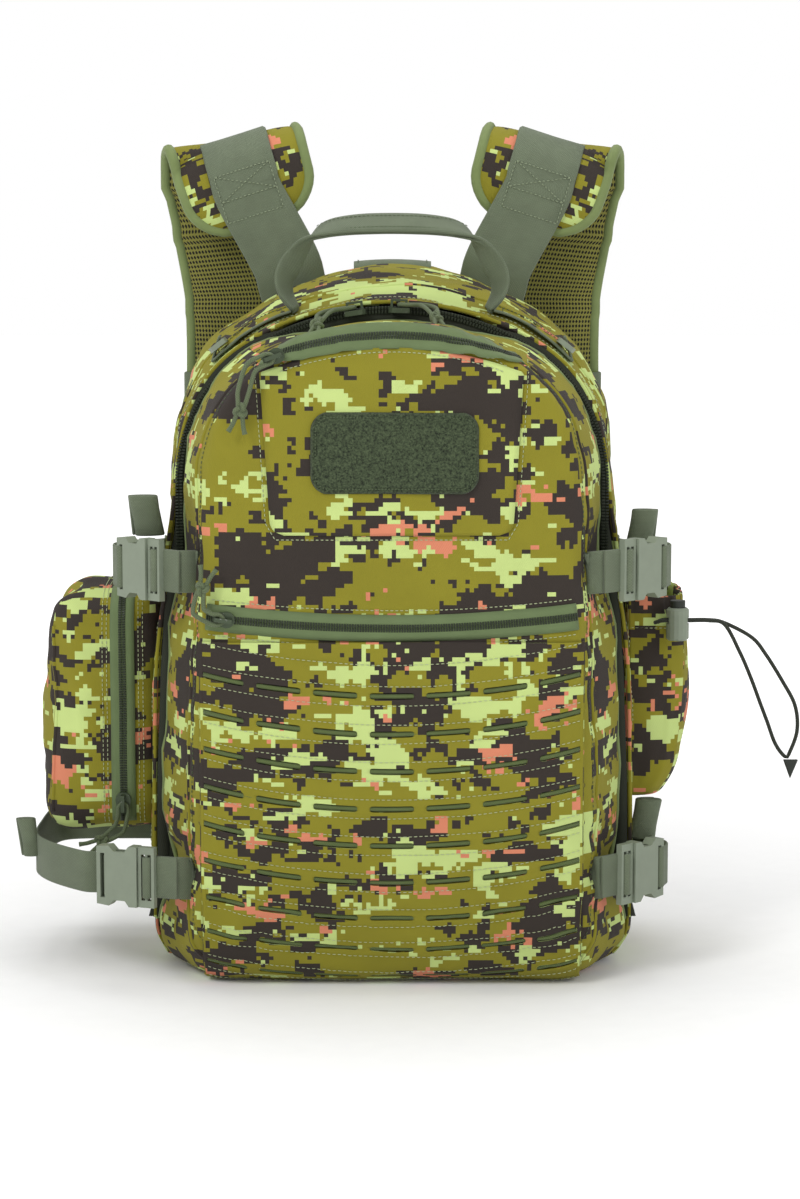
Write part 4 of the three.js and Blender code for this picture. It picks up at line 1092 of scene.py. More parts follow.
def arch_strip(name, steps, y, body, node, shape):
    """A flat tape in the plane of the mouth, between two steps outside the front outline."""
    inner, outer = steps
    rows = []
    for step in (inner, (inner + outer) / 2, outer):
        rows.append([shape(Vector((x, y, z))) for x, z in arch(step, 34)])
    # Near-black tape: painted shade of the deep gap at the mouth.
    made = sheet(name, [list(column) for column in zip(*rows)], body, "dark_tape", 0.9)
    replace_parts(made, node)


def rear_seams():
    welt("rear_rim", [p for p, _ in rear_arch(MOUTH + 1, -1, 0.3)], 1.7, "rear", "camo_rear")
    stitches("rear_rim_stitches", [rear_arch(MOUTH + 9, 2, 0.2)], "rear", "thread")
    welt("rear_seam_welt", [p for p, _ in rear_arch(3, 2, -0.6)], 1.8, "rear", "camo_rear")
    edge = [hug(rear_tree, p, 0.4)[0] for p in ring_at(outline(REAR_STEP - 3, 3), BACK - 5, RISE)]
    tube("back_piping", edge, 2.6, "rear", "binding", closed=True, sides=8)


def main_zip():
    arch_strip("main_front_tape", (-WALL, 4.2), FRONT_REAR + 1.0, "front", "main_zip_front_tape", widened)
    rear_steps = (4.8, REAR_STEP - WALL)
    arch_strip("main_rear_tape", rear_steps, FRONT_REAR + 1.6, "rear", "main_zip_rear_tape", rear_shape)
    coil_line = [(Vector((x, FRONT_REAR - 0.2, z)), FORWARD) for x, z in arch(6.4, 34, 3)]
    coil_teeth("main_zip_coil", coil_line, "rear", pitch=2.2)


rear_seams()
main_zip()


# ---- back pad, sleeve and flap ----
def back_pad():
    low, high = mm_box("back_pad")
    centre = (low + high) / 2
    corner = 34
    reach = ((high.x - low.x) / 2 - 6 - corner, (high.z - low.z) / 2 - 6 - corner)
    rings = []
    for y, inset in ((low.y, 3), (low.y + 4, 0), (high.y - 4, 0), (high.y - 1, 4), (high.y, 9)):
        rings.append([Vector((x, y, z)) for x, z in four_arcs((0, centre.z), reach, corner - inset)])
    made = loft("back_pad_mesh", rings, "rear", "mesh")
    channels = (centre.z - 70, centre.z + 70)

    def held(p):
        in_channel = any(abs(p.z - z) < 5 for z in channels) or abs(p.x) < 5
        return p.y < high.y - 8 or (in_channel and p.y > high.y - 6)

    subdivided(swell(made, 4.5, 7.0, held), 1)
    for vertex in made.data.vertices:
        p = vertex.co / MM
        if p.y > high.y - 4:
            vertex.co.y -= 5 * max(hump(p.x, 4), *(hump(p.z - z, 4) for z in channels)) * MM
    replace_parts(made, "back_pad")
    path = [Vector((x, low.y + 3, z)) for x, z in four_arcs((0, centre.z), reach, corner + 1)]
    tube("back_pad_binding", path, 3.6, "rear", "binding", closed=True)


def hydration_sleeve():
    low, high = mm_box("hydration_sleeve")
    rows = []
    for i in range(25):
        z = low.z + (high.z - low.z) * i / 24
        row = []
        for x in (low.x + (high.x - low.x) * j / 24 for j in range(25)):
            sag = 3 * noise.noise(Vector((x / 60, z / 50, 1))) - 1.5 * (i / 24)
            row.append(Vector((x, (low.y + high.y) / 2 + sag, z)))
        rows.append(row)
    made = sheet("hydration_sleeve_cloth", rows, "rear", "lining", 2.0)
    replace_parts(made, "hydration_sleeve")
    band("hydration_hem", rows[-1], UP, 14, "rear", "binding", 3.4)


def hydration_flap():
    """The hose port's flap; a root of the same webbing joins it to the bag."""
    low, high = mm_box("hydration_flap")
    middle = (low.z + high.z) / 2
    section = [(high.y, 0), (high.y - 8, 2.2), (low.y + 8, 2.6), (low.y + 2, 1)]
    section += [(low.y - 0.5, -3), (low.y - 0.8, -7)]

    def across(x, lift=0.0, points=section):
        return [Vector((x, y, middle + rise - 0.002 * x * x + lift)) for y, rise in points]

    rows = [list(row) for row in zip(*(across(x) for x in range(-28, 29, 4)))]
    made = sheet("hydration_flap_webbing", rows, "hydration_flap", "webbing", 2.2, subdivide=2)
    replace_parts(made, "hydration_flap")
    runs = [[(p, UP) for p in across(x, 1.2, section[:4])] for x in (-25, 25)]
    stitches("hydration_flap_stitches", runs, "hydration_flap", "dark_thread", 3, 0.35)
    root = [hug(rear_tree, Vector((0, high.y + 4, middle - drop)), 0.8)[0] for drop in (34, 26, 18)]
    root += [Vector((0, high.y + 0.6, middle - 6)), Vector((0, high.y - 0.4, middle + 0.4))]
    band("hydration_flap_root", root, ACROSS, 52, "rear", thick=1.8, steps=16)


back_pad()
hydration_sleeve()
hydration_flap()


# ---- handle, top webbing and rings ----
def grab_handle():
    """Two layers of webbing, edge up at the feet and flat over the top."""
    low, high = mm_box("grab_handle")
    y, half, foot, top = (low.y + high.y) / 2, high.x - 2.5, low.z, high.z - 2.5
    profile = [(half - 5, foot - 9), (half + 2.5, foot + 4), (half + 1, foot + 18)]
    profile += [(half - 17, top - 8), (28, top)]
    path = [Vector((x, y, z)) for x, z in mirrored(profile[::-1]) + profile[::-1]]
    leans = [Vector(lean) for lean in ((0.2, 0.98, 0), (0.85, 0.5, 0), (0.4, 0.7, 0.5), (0, 0.72, 0.69))]
    other = [Vector((-lean.x, lean.y, lean.z)) for lean in reversed(leans)]
    face = Vector((0, -0.69, 0.72))
    for name, width, lift in (("handle_upper", 19, 1.4), ("handle_lower", 17.4, -1.4)):
        made = band(name, [p + face * lift for p in path], leans + other, width, None, thick=2.6, steps=90)
        if name == "handle_upper":
            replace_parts(made, "grab_handle")
        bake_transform(made)
    middle = spline([p + face * 1.4 for p in path], 60)[16:45]
    rows = [[(p + leans[-1] * offset + face * 1.3, face) for p in middle] for offset in (-5.6, 5.6)]
    stitches("handle_stitches", rows, "handle", "dark_thread", 3, 0.35)


def on_crown(angle, sign):
    """A place on the rear arch, by its angle about the crown or the shoulder."""
    crown = angle > 56
    radius = (CROWN if crown else SHOULDER) + REAR_STEP
    x = (0 if crown else SHOULDER_X) + radius * math.cos(math.radians(angle))
    z = (CROWN_Z if crown else SHOULDER_Z) + radius * math.sin(math.radians(angle))
    return rear_shape(Vector((sign * x, TOP_WEB_Y, z)))


def top_webbing(side):
    """The handle's tail along the top seam, ending in the loop that holds the ring."""
    sign = SIDES[side]
    path = [hug(rear_tree, on_crown(angle, sign), 1.5)[0] for angle in (69, 66, 62, 58, 54, 50, 46)]
    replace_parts(band(f"top_webbing_{side}", path, BACKWARD, 21, "rear", steps=24), f"top_web_{side}")
    fine = spline(path, 20)
    stitch = lambda at, offset: hug(rear_tree, at + Vector((0, offset, 2)), 2.6)
    rows = [[stitch(p, offset) for p in fine] for offset in (-8, 8)]
    rows += [[stitch(fine[place], offset) for offset in range(-8, 9, 2)] for place in (2, 18)]
    stitches(f"top_webbing_stitches_{side}", rows, "rear", "dark_thread", 2.8, 0.35)
    bar = Vector((sign * 117.5, TOP_WEB_Y, 441.5))
    loop = [path[-1], (path[-1] + bar) / 2 + Vector((sign, 0, 3))]
    loop += [bar + Vector((sign * 2.6, 0, 2.6)), bar + Vector((sign * 4.4, 0, -1.8))]
    band(f"ring_loop_{side}", loop, BACKWARD, 16, "rear", thick=1.4, steps=16)


grab_handle()
TOP_WEB_Y = sum(corner.y for corner in mm_box("top_web_right")) / 2
for side in SIDES:
    top_webbing(side)

# ---- shoulder straps ----
# Stations run from the pad's front end over the shoulder and down the back.
# Each holds x, y, z, lean in degrees and half width.
STATIONS = [
    (98, 91, 524, 17, 43), (105, 92, 546, 17, 46), (111, 96, 565, 16, 47), (114, 103, 576, 15, 47),
    (117, 112, 579, 14, 47), (120, 121, 574, 12, 47), (122, 127, 560, 10, 46), (121, 130, 522, 7, 39),
    (117, 131, 466, 3, 34), (119, 131, 390, 0, 32), (126, 131, 300, 0, 30), (130, 131, 225, 0, 27),
]
PAD_STEPS = 90
PAD_SIDE_STEPS = 10
PAD_EDGE = 2.2


def leaning(degrees, sign):
    lean = math.radians(degrees)
    return Vector((math.cos(lean), 0, -sign * math.sin(lean)))


def pad_frame(point, along, keys, sign):
    """Direction across the pad and half width, between the two stations nearest to a point."""
    a, b = sorted(range(len(keys)), key=lambda k: (keys[k] - point).length)[:2]
    to_a, to_b = (keys[a] - point).length, (keys[b] - point).length
    share = to_a / (to_a + to_b) if to_a + to_b else 0
    lean, width = (STATIONS[a][k] + (STATIONS[b][k] - STATIONS[a][k]) * share for k in (3, 4))
    across = leaning(lean, sign) * sign
    return (across - along * across.dot(along)).normalized(), width


def shoulder_strap(side):
    """The pad: cloth outside, mesh inside, bound edges. Returns its centre line."""
    sign = SIDES[side]
    keys = [Vector((sign * x, y, z)) for x, y, z, _, _ in STATIONS]
    path = spline(keys, PAD_STEPS)
    lengths = [0.0]
    for a, b in zip(path, path[1:]):
        lengths.append(lengths[-1] + (b - a).length)
    rings, centre = [], []
    for point, along, length in zip(path, tangents(path), lengths):
        across, width = pad_frame(point, along, keys, sign)
        for end in ((length + 1.5) / 26, (lengths[-1] - length + 1.5) / 30):
            width *= 0.35 + 0.65 * math.sqrt(max(0.0, 1 - (1 - min(1.0, end)) ** 2))
        out = across.cross(along).normalized() * sign
        thick = 6.2 + 0.5 * noise.noise(Vector((length / 40, sign * 3, 1)))
        ring = []
        for face in (1, -1):
            for s in (face * (0.2 * k - 1) for k in range(PAD_SIDE_STEPS + 1)):
                rise = PAD_EDGE + (thick - PAD_EDGE) * (1 - s**4)
                ring.append(point + across * (s * width) + out * (face * rise))
        rings.append(ring)
        centre.append((point, across, out, width))
    body = f"strap_{side}"
    made = loft(f"strap_pad_{side}", rings, body, ["camo_strap", "mesh_uv", "binding"])
    for face in made.data.polygons:
        place = face.index % (2 * PAD_SIDE_STEPS + 2)
        face.material_index = 2 if place in (10, 21) else int(place >= PAD_SIDE_STEPS)
    subdivided(made, 1)
    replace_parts(made, f"shoulder_strap_{side}")
    loop = [point - across * width for point, across, _, width in centre]
    loop += [point + across * width for point, across, _, width in reversed(centre)]
    tube(f"strap_binding_{side}", resample(loop + loop[:1], 200)[:-1], 4.0, body, "binding", True)
    return centre


def anchor_webbing(side, centre):
    """Wide webbing from the bag's top over the pad, sewn down with a crossed box."""
    sign = SIDES[side]
    low = [Vector((sign * x, y, z)) for x, y, z in ((68, 89, 460), (73.5, 86, 479), (79, 82, 497))]
    flap = [point + out * 7.6 for point, _, out, _ in centre[4:36:3]]
    sides = [leaning(degrees, sign) for degrees in [30, 24, 17] + [17] * len(flap)]
    made = band(f"anchor_webbing_{side}", low + flap, sides, 50, None, thick=2.2, steps=60)
    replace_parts(made, f"anchor_web_{side}")
    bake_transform(made)
    stations = centre[1:9]

    def at(share, s):
        place = share * (len(stations) - 1)
        k = min(int(place), len(stations) - 2)
        point, across, out, _ = stations[k]
        return point.lerp(stations[k + 1][0], place - k) + across * s + out * 9.2, out

    half, bar = 21, 0.45
    steps = [i / 10 for i in range(11)]
    rows = [[at(t, s) for t in steps] for s in (-half, half)]
    rows += [[at(t, -half + 2 * half * k) for k in steps] for t in (0.0, bar, 1.0)]
    rows += [[at(bar + (1 - bar) * t, s * (2 * half * t - half)) for t in steps] for s in (1, -1)]
    stitches(f"anchor_stitches_{side}", rows, f"strap_{side}", "pale_thread", 3.0, 0.4)


def keeper(side, centre):
    """Narrow webbing round the pad, part of the way down."""
    point, across, out, width = min(centre, key=lambda c: abs(c[0].z - 400) + abs(c[0].y - 131))
    ring = []
    for angle in (TURN * k / 32 for k in range(32)):
        c, s = math.cos(angle), math.sin(angle)
        wide, deep = math.copysign(abs(c) ** 0.4, c), math.copysign(abs(s) ** 0.6, s)
        ring.append(point + across * (wide * (width + 5)) + out * (deep * 8.2))
    normals = [along.cross(UP).normalized() for along in tangents(ring, closed=True)]
    rings = [flat_section(p, UP, normal, 10, 0.8) for p, normal in zip(ring, normals)]
    loft(f"strap_keeper_{side}", rings, f"strap_{side}", "webbing", closed=True)


LOWER_WEB = ((150, 106, 34), (147, 120, 66), (137, 129, 128), (130, 131, 196))
ROUND_THE_BARS = (
    (130, 134, 226), (130, 134.5, 216), (130, 131, 212), (130, 127, 208), (130, 128, 203), (130, 131, 198),
    (130, 134, 190), (130, 134, 170), (131, 137, 140),
)
CORNER_PATCH = ((151, 103, 22), (150, 107, 40), (149, 111, 56))


def lower_webbing(side):
    """Adjusting webbing between the bag's corner and the ladder lock; it follows both."""
    sign = SIDES[side]
    paths = (LOWER_WEB, ROUND_THE_BARS, CORNER_PATCH)
    web, bars, patch = ([Vector((sign * x, y, z)) for x, y, z in path] for path in paths)
    made = band(f"lower_webbing_{side}", web, ACROSS, 25, None, steps=50)
    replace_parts(made, f"lower_web_{side}")
    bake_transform(made)
    band(f"ladder_webbing_{side}", bars, ACROSS, 25, f"strap_{side}", steps=40, thick=1.4)
    band(f"lower_anchor_{side}", patch, ACROSS, 34, "rear", thick=2.4, steps=8)


for side in SIDES:
    strap_centre = shoulder_strap(side)
    anchor_webbing(side, strap_centre)
    keeper(side, strap_centre)
    lower_webbing(side)

# ---- zipped side pouch ----
pouch_low, pouch_high = mm_box("side_pouch")
POUCH_ZIP_X = -190
POUCH_FOOT = 18
POUCH_CROWN = 24


def box_ring(low_x, high_x, low_y, high_y, z, radius):
    corners = ((high_x - radius, low_y + radius, -90), (high_x - radius, high_y - radius, 0))
    corners += ((low_x + radius, high_y - radius, 90), (low_x + radius, low_y + radius, 180))
    loop = []
    for x, y, start in corners:
        loop += arc(x, y, radius, start, start + 90, 6)
    return [Vector((x, y, z)) for x, y in loop]


def side_pouch():
    turns = [math.radians(90 * k / 6) for k in range(7)]
    straight = pouch_high.z - pouch_low.z - POUCH_FOOT - POUCH_CROWN
    rings = [(pouch_low.z + POUCH_FOOT * (1 - math.cos(a)), POUCH_FOOT * (1 - math.sin(a))) for a in turns]
    rings += [(pouch_low.z + POUCH_FOOT + straight * share, 0) for share in (0.25, 0.5, 0.75, 1)]
    for a in turns[1:]:
        rings.append((pouch_high.z - POUCH_CROWN * (1 - math.sin(a)), POUCH_CROWN * (1 - math.cos(a))))
    loops = []
    for z, inset in rings:
        outer = pouch_low.x + inset + 5 * (z - pouch_low.z) / (pouch_high.z - pouch_low.z)
        front, back = pouch_low.y + inset, pouch_high.y - inset
        loops.append(box_ring(outer, pouch_high.x - 1, front, back, z, 20 - min(inset, 12)))
    made = loft("side_pouch_body", loops, "rear", "camo_pouch")

    def held(p):
        at_zip = abs(p.x - POUCH_ZIP_X) < 6 and (p.y < pouch_low.y + 6 or p.z > pouch_high.z - 5)
        return at_zip or p.x > pouch_high.x - 6

    swell(made, 4.5, 7.0, held)
    crumple(made, 4.0, (50, 40, 36), 31.0, lambda p: below(p.x, pouch_high.x - 10, 20))
    crumple(made, 1.8, (24, 20, 14), 33.0, lambda p: 0.0 if abs(p.x - POUCH_ZIP_X) < 10 else 1.0)
    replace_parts(subdivided(made, 1), "side_pouch")
    return made


pouch_tree = surface_tree(side_pouch())


def pouch_path(x, start_z, lift):
    """Up the front of the pouch and back over its top."""
    run = []
    for k in range(40):
        z = start_z + (pouch_high.z - 22 - start_z) * k / 39
        run.append(press(pouch_tree, (x, pouch_low.y - 40, z), BACKWARD, lift))
    centre = Vector((x, pouch_low.y + POUCH_CROWN, pouch_high.z - POUCH_CROWN))
    for turn in (math.radians(90 * k / 12) for k in range(1, 12)):
        out = Vector((0, -math.cos(turn), math.sin(turn)))
        run.append(press(pouch_tree, centre + out * 60, -out, lift))
    for k in range(12):
        y = centre.y + (62 - centre.y) * k / 11
        run.append(press(pouch_tree, (x, y, pouch_high.z + 40), -UP, lift))
    return run


def pouch_seams():
    zip_fastener("side_pouch", pouch_path(POUCH_ZIP_X, 102, 0.4), "rear", half=8.5)
    rows = [pouch_path(POUCH_ZIP_X + offset, 100, 0.25) for offset in (-14, -11, 11, 14)]
    stitches("side_pouch_stitches", rows, "rear", "thread")
    seam = []
    for k in range(30):
        z = pouch_low.z + 14 + (pouch_high.z - pouch_low.z - 40) * k / 29
        corner = Vector((pouch_low.x - 27, pouch_low.y - 27, z))
        seam.append(press(pouch_tree, corner, (1, 1, 0), -0.4)[0])
    welt("side_pouch_welt", seam, 1.9, "rear", "camo_pouch")


pouch_seams()

# ---- bottle pocket ----
cup_low, cup_high = mm_box("bottle_pocket")
# Height and outer x of the pocket's side, from its base to its mouth.
CUP_PROFILE = [
    (0, 189), (6, 194), (22, 203), (46, 208), (70, 211),
    (100, 211), (122, 209), (133, 207), (139, 206), (145, 207),
]
CUP_HEM = 122
CUP_WALL = 3.0


def cup_ring(z, outer_x, shrink):
    """An open D round the pocket, from its back edge on the bag to its front edge."""
    radius = 18 - shrink
    right, left = outer_x - shrink - radius, cup_low.x + 1
    front, back = cup_low.y + shrink + radius, cup_high.y - shrink - radius
    loop = line((left, back + radius), (right, back + radius), 6)
    loop += arc(right, back, radius, 90, 0, 12)
    loop += line((outer_x - shrink, back), (outer_x - shrink, front), 12)[1:]
    loop += arc(right, front, radius, 0, -90, 12)
    loop += line((right, front - radius), (left, front - radius), 6)[1:] + [(left, front - radius)]
    return [Vector((x, y, z)) for x, y in loop]


def gathered(point, height, index):
    """Folds under the elastic hem, and looser folds below them."""
    near_top = above(height, 96, 36)
    fold = math.sin(index * 1.7) * 1.6 + math.sin(index * 0.9 + 1) * 1.0
    centre = Vector((cup_low.x, (cup_low.y + cup_high.y) / 2, point.z))
    out = (point - centre).normalized()
    loose = 3.5 * noise.noise(Vector((point.x / 30, point.y / 30, point.z / 34)))
    pleat = noise.noise(Vector((index * 0.35, height / 45, 7.0))) * 3.0 * (1 - near_top)
    hem = -2.2 * hump(height - CUP_HEM, 5)
    return point + out * (fold * near_top * 0.8 + (loose + pleat) * ease(height / 20) + hem)


def bottle_pocket():
    """Cloth up the outside, over the mouth and down the inside."""
    stations = [(height, height, outer, 0) for height, outer in CUP_PROFILE]
    stations += [(max(height, CUP_WALL), height, outer, CUP_WALL) for height, outer in reversed(CUP_PROFILE)]
    loops = []
    for rise, height, outer, shrink in stations:
        ring = cup_ring(cup_low.z + rise, outer, shrink)
        loops.append([gathered(p, height, i) for i, p in enumerate(ring)])
    ends = [[p.lerp(Vector((cup_low.x + 10, 30, p.z)), 0.9) for p in loop] for loop in (loops[0], loops[-1])]
    rings = [ends[0], *loops, ends[1]]
    made = loft("bottle_pocket_cloth", rings, "rear", ["camo_cup", "lining"])
    for face in made.data.polygons:
        if face.index >= (len(CUP_PROFILE) + 3) * len(rings[0]):
            face.material_index = 1
    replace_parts(subdivided(made, 2), "bottle_pocket")
    tree = surface_tree(made)
    hem = [hug(tree, p, 0.3) for p in cup_ring(cup_low.z + CUP_HEM, 214, -3)]
    stitches("bottle_pocket_stitches", [hem], "rear", "thread")


bottle_pocket()

# ---- compression straps ----
STRAPS = {
    "upper_left": (-1, UPPER_STRAP_Z, 45), "upper_right": (1, UPPER_STRAP_Z, 45),
    "lower_left": (-1, LOWER_STRAP_Z, 20), "lower_right": (1, LOWER_STRAP_Z, 45),
}
STRAP_WIDTH = 29
# Webbing round the plug's bar and back, and round the socket's bar: along and inward of the buckle.
ROUND_THE_PLUG = (
    (12, 5.0), (24, 4.2), (31, 3.9), (33.4, 0.6), (32.6, -3.0),
    (30.6, -3.6), (28.6, -2.4), (27.6, 1.4), (22, 2.3), (10, 2.6),
)
ROUND_THE_SOCKET = ((61.2, 1.5), (62.9, -2.6), (65, -4.6), (69, -3.0))
ROUND_THE_LOW_SOCKET = ((61.4, -3.4), (63.2, 3.4), (66, 5.0), (72, 3.2))
TO_THE_SIDE = ((192, -50), (182, -30), (169, -14), (167.5, 14))
ROUND_THE_POUCH = (
    (215, -80), (240, -50), (253, -18), (254.5, 30), (252, 74), (240, 94), (200, 97), (168, 96),
)


def compression_strap(prefix):
    """Webbing from the front seam through the plug, and from the socket back to the rear section."""
    sign, z, yaw = STRAPS[prefix]
    turn = math.radians(yaw)
    round_pouch = prefix == "lower_left"

    def place(along, inward):
        x = 138 + along * math.cos(turn) - inward * math.sin(turn)
        return Vector((sign * x, -112 + along * math.sin(turn) + inward * math.cos(turn), z))

    stations = [Vector((sign * 134, SEAM_Y + 1, z))]
    stations.append(hug(front_tree, Vector((sign * 142, SEAM_Y - 3, z)), 1.6)[0])
    stations += [place(*point) for point in ROUND_THE_PLUG]
    made = band(f"{prefix}_webbing", stations, UP, STRAP_WIDTH, None, thick=1.5, steps=80)
    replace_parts(made, f"{prefix}_front_web")
    place(6, 0) * MM
    place(26, 0) * MM
    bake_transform(made)
    path = [place(*point) for point in (ROUND_THE_LOW_SOCKET if round_pouch else ROUND_THE_SOCKET)]
    path += [Vector((sign * x, y, z)) for x, y in (ROUND_THE_POUCH if round_pouch else TO_THE_SIDE)]
    path[-1] = hug(rear_tree, path[-1], 1.2)[0]
    if not round_pouch:
        path[-2] = hug(rear_tree, path[-2], 2.0)[0]
    made = band(f"{prefix}_rear_webbing", path, UP, STRAP_WIDTH, None, thick=1.6, steps=90)
    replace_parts(made, f"{prefix}_rear_web")
    place(66, 0) * MM
    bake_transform(made)


def rolled_end(name, centre, side, start, turns, radius, width=28):
    """The webbing's spare end, loosely rolled up."""
    lean = math.radians(12)
    points = []
    for k in range(int(turns * 12) + 1):
        angle = start + TURN * k / 12
        size = radius * (1 - 0.5 * k / (turns * 12))
        offset = Vector((side * size * 1.25 * math.cos(angle), size * math.sin(angle) * 0.7, 0))
        points.append(Vector(centre) + offset)
    up = Vector((side * math.sin(lean), 0.1, math.cos(lean)))
    band(name, points, up, width, "rear", thick=1.7, steps=int(turns * 36))


for strap_name in STRAPS:
    compression_strap(strap_name)
rolled_end("upper_left_roll", (-171, -44, 321), -1, 0.4, 1.7, 9)
rolled_end("upper_right_roll", (175, -30, 310), 1, 0.4, 1.7, 8)
rolled_end("lower_left_fold", (-258, -24, 90), -1, 0.2, 1.4, 5.5, 27)
rolled_end("lower_right_fold", (180, -26, 104), 1, 1.0, 1.6, 8)

# ---- zip pulls ----
PULL_JOINTS = [joint for joint in frame["joints"] if joint["child"].endswith("_pull")]
PULLED_AT = {joint["child"]: Vector(joint["pos_m"]) / MM for joint in PULL_JOINTS}
PULL_LEAD = 9
PULL_CURVE = 16
# Distance back from the knot and half width of the cord loop; then distance from the slider and half width.
LOOP_KNOT_END = ((1, 1.6), (6, 2.6), (14, 3.7))
LOOP_SLIDER_END = ((PULL_LEAD + 8, 3.6), (8, 3.4), (2.6, 3.0))
# Distance beyond the knot and half the gap between the two cord ends.
LOOP_TAIL = ((0, 1.2), (5, 2.4), (10, 3.6), (15, 5.6))


def pull_cord(prefix, along, bend_to, length, bend, droop=(0, 0, 0)):
    """A cord loop through the slider's bridge with a knot and two ends, bent in its own plane."""
    body = f"{prefix}_pull"
    ahead, towards = Vector(along).normalized(), Vector(bend_to).normalized()
    radius = PULL_CURVE / math.radians(bend)

    def at(distance, offset, off_plane=0.0):
        turn = min(max(distance - PULL_LEAD, 0), PULL_CURVE) / PULL_CURVE * math.radians(bend)
        before, after = min(distance, PULL_LEAD), max(distance - PULL_LEAD - PULL_CURVE, 0)
        sideways = radius * (1 - math.cos(turn)) + after * math.sin(turn) + offset * math.cos(turn)
        forward = before + radius * math.sin(turn) + after * math.cos(turn) - offset * math.sin(turn)
        point = PULLED_AT[body] + ahead * forward + towards * sideways + ahead.cross(towards) * off_plane
        return point + Vector(droop) * max(0, distance - 16) ** 2 * 0.011

    legs = {}
    for s in (-1, 1):
        legs[s] = [at(length - back, s * half) for back, half in LOOP_KNOT_END]
        legs[s] += [at(distance, s * half) for distance, half in LOOP_SLIDER_END]
    loop = [*legs[-1], at(0, 0), *reversed(legs[1])]
    made = tube(f"{body}_loop", spline(loop, 90), 1.55, body, "cord")
    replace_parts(made, body)
    knot = []
    for t in (TURN * k / 60 for k in range(60)):
        across = (math.sin(t) + 2 * math.sin(2 * t)) * 1.25
        onward = (math.cos(t) - 2 * math.cos(2 * t)) * 1.35
        knot.append(at(length + onward, across, -math.sin(3 * t) * 1.7))
    tube(f"{body}_knot", knot, 1.7, body, "cord", closed=True)
    for name, s in (("a", -1), ("b", 1)):
        tail = [at(length + beyond, s * half) for beyond, half in LOOP_TAIL]
        sealed = lambda t: 1.5 + 0.25 * above(t, 0.8, 0.2)
        tube(f"{body}_end_{name}", spline(tail, 16), sealed, body, "cord")


pull_cord("organizer", (-0.940, 0, -0.342), (0.342, 0, -0.940), 46, 60)
pull_cord("lower_pocket", (-0.993, 0, 0.115), (0.115, 0, 0.993), 34, 100)
pull_cord("main_left", (-0.990, 0, -0.139), FORWARD, 42, 75, -UP)
pull_cord("main_right", (1, 0, -0.026), FORWARD, 42, 75, -UP)
pull_cord("side_pouch", -UP, -ACROSS, 34, 60)

# ---- drawcord ----
# One loop: out of the cord lock, out to the end piece and back through the lock.
CORD_POINTS = [
    (186, -29.4, 244), (190, -29.4, 246), (206, -29.4, 246), (222, -29.4, 246), (233, -30, 244),
    (252, -32, 234), (262, -33, 222), (274, -33, 203), (283, -33, 186), (285, -32, 168),
    (280, -31.5, 152), (277, -31.5, 149), (270, -31, 158), (264, -30, 174), (259, -29.6, 187),
    (252, -32, 205), (244, -33.6, 223), (233, -33.6, 243), (222, -33.6, 246), (206, -33.6, 246),
    (190, -33.6, 246), (184, -30, 244),
]
CORD_END = ((275.5, 147), (280.5, 133.5), (286, 147))


def drawcord():
    path = spline([Vector(p) for p in CORD_POINTS], 160)
    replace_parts(tube("drawcord", path, 1.35, "rear", "elastic"), "shock_cord")
    low, high = mm_box("cord_end")
    rings = []
    for y, size in ((low.y, 0.8), (low.y + 1, 1), (high.y - 1, 1), (high.y, 0.8)):
        centre = Vector((280.7, y, 142.5))
        rings.append([centre + (Vector((x, y, z)) - centre) * size for x, z in CORD_END])
    made = loft("drawcord_end", rings, "rear", "dark_plastic")
    modifier(made, "BEVEL", width=0.6 * MM, segments=2)
    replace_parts(made, "cord_end")


drawcord()

# ---- moulded and metal pieces keep their CAD shape, with softened edges ----
HARD = {
    "buckle": "buckle", "zip_slider": "slider_metal", "dark_plastic": "dark_plastic", "spring_steel": "steel",
}
for subpart in frame["record"]["subparts"]:
    node, slot = subpart["node"], subpart["material_slot"]
    made = frame["nodes"][node]
    if slot not in HARD or node == "cord_end":
        continue
    made.data.materials.clear()
    made.data.materials.append(LOOKS[HARD[slot]])
    if slot != "spring_steel":
        width, segments = (1.1, 3) if node.endswith(("plug", "socket")) else (0.4, 2)
        soft = {"width": width * MM, "segments": segments, "angle_limit": math.radians(30)}
        modifier(made, "BEVEL", limit_method="ANGLE", **soft)


# ---- floor, light and camera ----
WHITE = (1, 1, 1, 1)
# Place in metres, power in watts and size in metres of each lamp.
LAMPS = {
    "key": ((-1.3, -1.9, 1.9), 30, 0.9),
    "fill": ((1.6, -1.5, 1.2), 12, 1.4),
    "top": ((0, 0.3, 2.1), 16, 1.2),
}


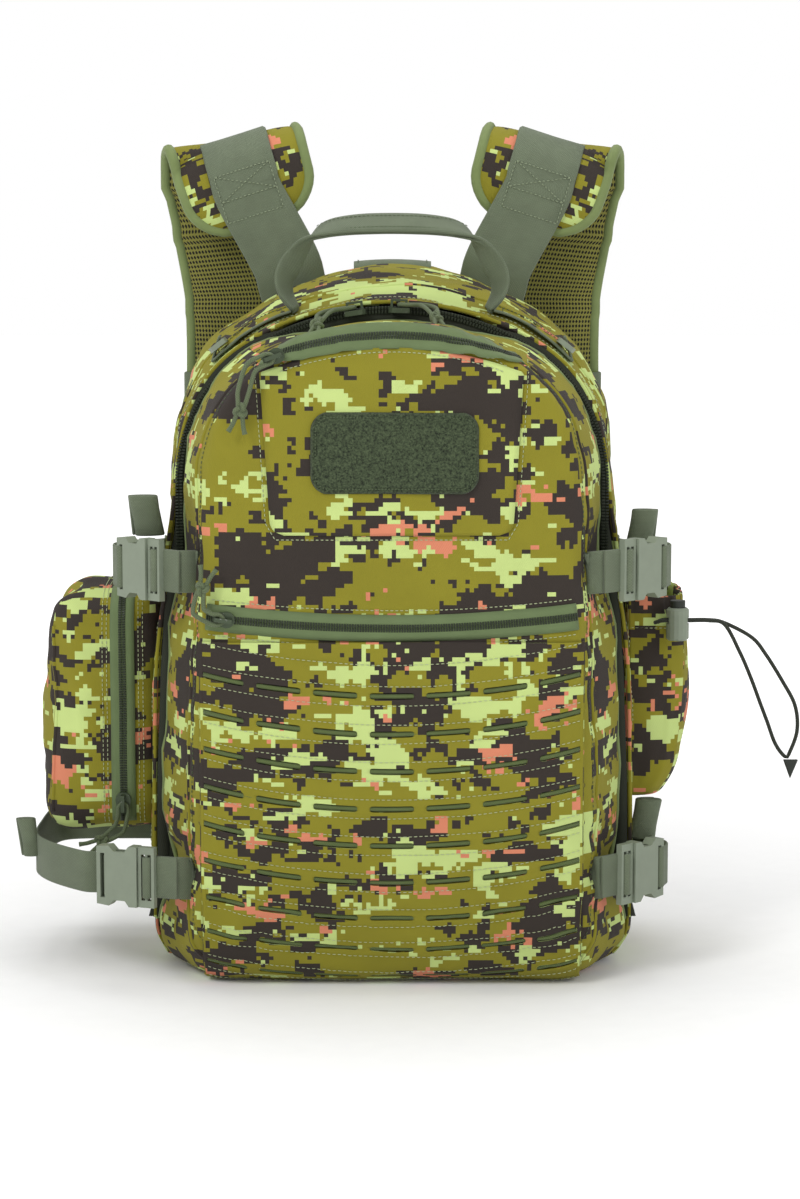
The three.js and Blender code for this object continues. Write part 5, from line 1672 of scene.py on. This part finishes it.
def floor():
    """Pale paper with painted light: it glows, more strongly away from the bag, up to white."""
    bpy.ops.mesh.primitive_plane_add(size=30, location=(0, 0, 0))
    made = bpy.context.object
    made.name = "floor"
    paper = Nodes("paper")
    place = paper.coordinates("Object")
    tone = 0.97 + paper.noise(place, 60, 3) * 0.04
    x, y, _ = paper.split(place)
    away = paper.math("SQRT", x * x + y * y)
    # Painted light: the paper's glow is none near the bag and grows with distance.
    glow = paper.math("MINIMUM", paper.math("MAXIMUM", away - 0.3, 0.0) * 0.5, 0.6)
    paper.put(paper.shader.inputs["Emission Strength"], glow)
    paper.put(paper.shader.inputs["Emission Color"], WHITE)
    made.data.materials.append(paper.finish(paper.shade((0.92, 0.92, 0.92, 1), tone), 0.9))


def daylight():
    """Soft light from all round; the camera sees pure white."""
    world = bpy.data.worlds.new("studio")
    bpy.context.scene.world = world
    world.use_nodes = True
    tree = world.node_tree
    soft, seen = tree.nodes["Background"], tree.nodes.new("ShaderNodeBackground")
    for background in (soft, seen):
        background.inputs[0].default_value = WHITE
    soft.inputs[1].default_value = 0.62
    choose = tree.nodes.new("ShaderNodeMixShader")
    rays = tree.nodes.new("ShaderNodeLightPath")
    for index, output in enumerate((rays.outputs["Is Camera Ray"], soft.outputs[0], seen.outputs[0])):
        tree.links.new(output, choose.inputs[index])
    tree.links.new(choose.outputs[0], tree.nodes["World Output"].inputs[0])


def lamps():
    for name, (place, power, size) in LAMPS.items():
        data = bpy.data.lights.new(name, "AREA")
        data.energy, data.size = power, size
        lamp = bpy.data.objects.new(name, data)
        lamp.location = place
        lamp.rotation_euler = (Vector((0, -0.03, 0.26)) - Vector(place)).to_track_quat("-Z", "Y").to_euler()
        bpy.context.scene.collection.objects.link(lamp)


TARGET = Vector((5.5, -112, 270.5)) * MM
DISTANCE = 1.9
VIEW_HEIGHT = 0.805
ELEVATION = math.radians(7)


def camera():
    """Straight in front and a little above, as in the photo."""
    data = bpy.data.cameras.new("camera")
    data.lens = 36 * DISTANCE / VIEW_HEIGHT
    made = bpy.data.objects.new("camera", data)
    heading = Vector((0, -math.cos(ELEVATION), math.sin(ELEVATION)))
    made.location = TARGET + heading * DISTANCE
    made.rotation_euler = (-heading).to_track_quat("-Z", "Y").to_euler()
    bpy.context.scene.collection.objects.link(made)
    bpy.context.scene.camera = made


floor()
bpy.context.scene.view_settings.view_transform = "Standard"
daylight()
lamps()
camera()
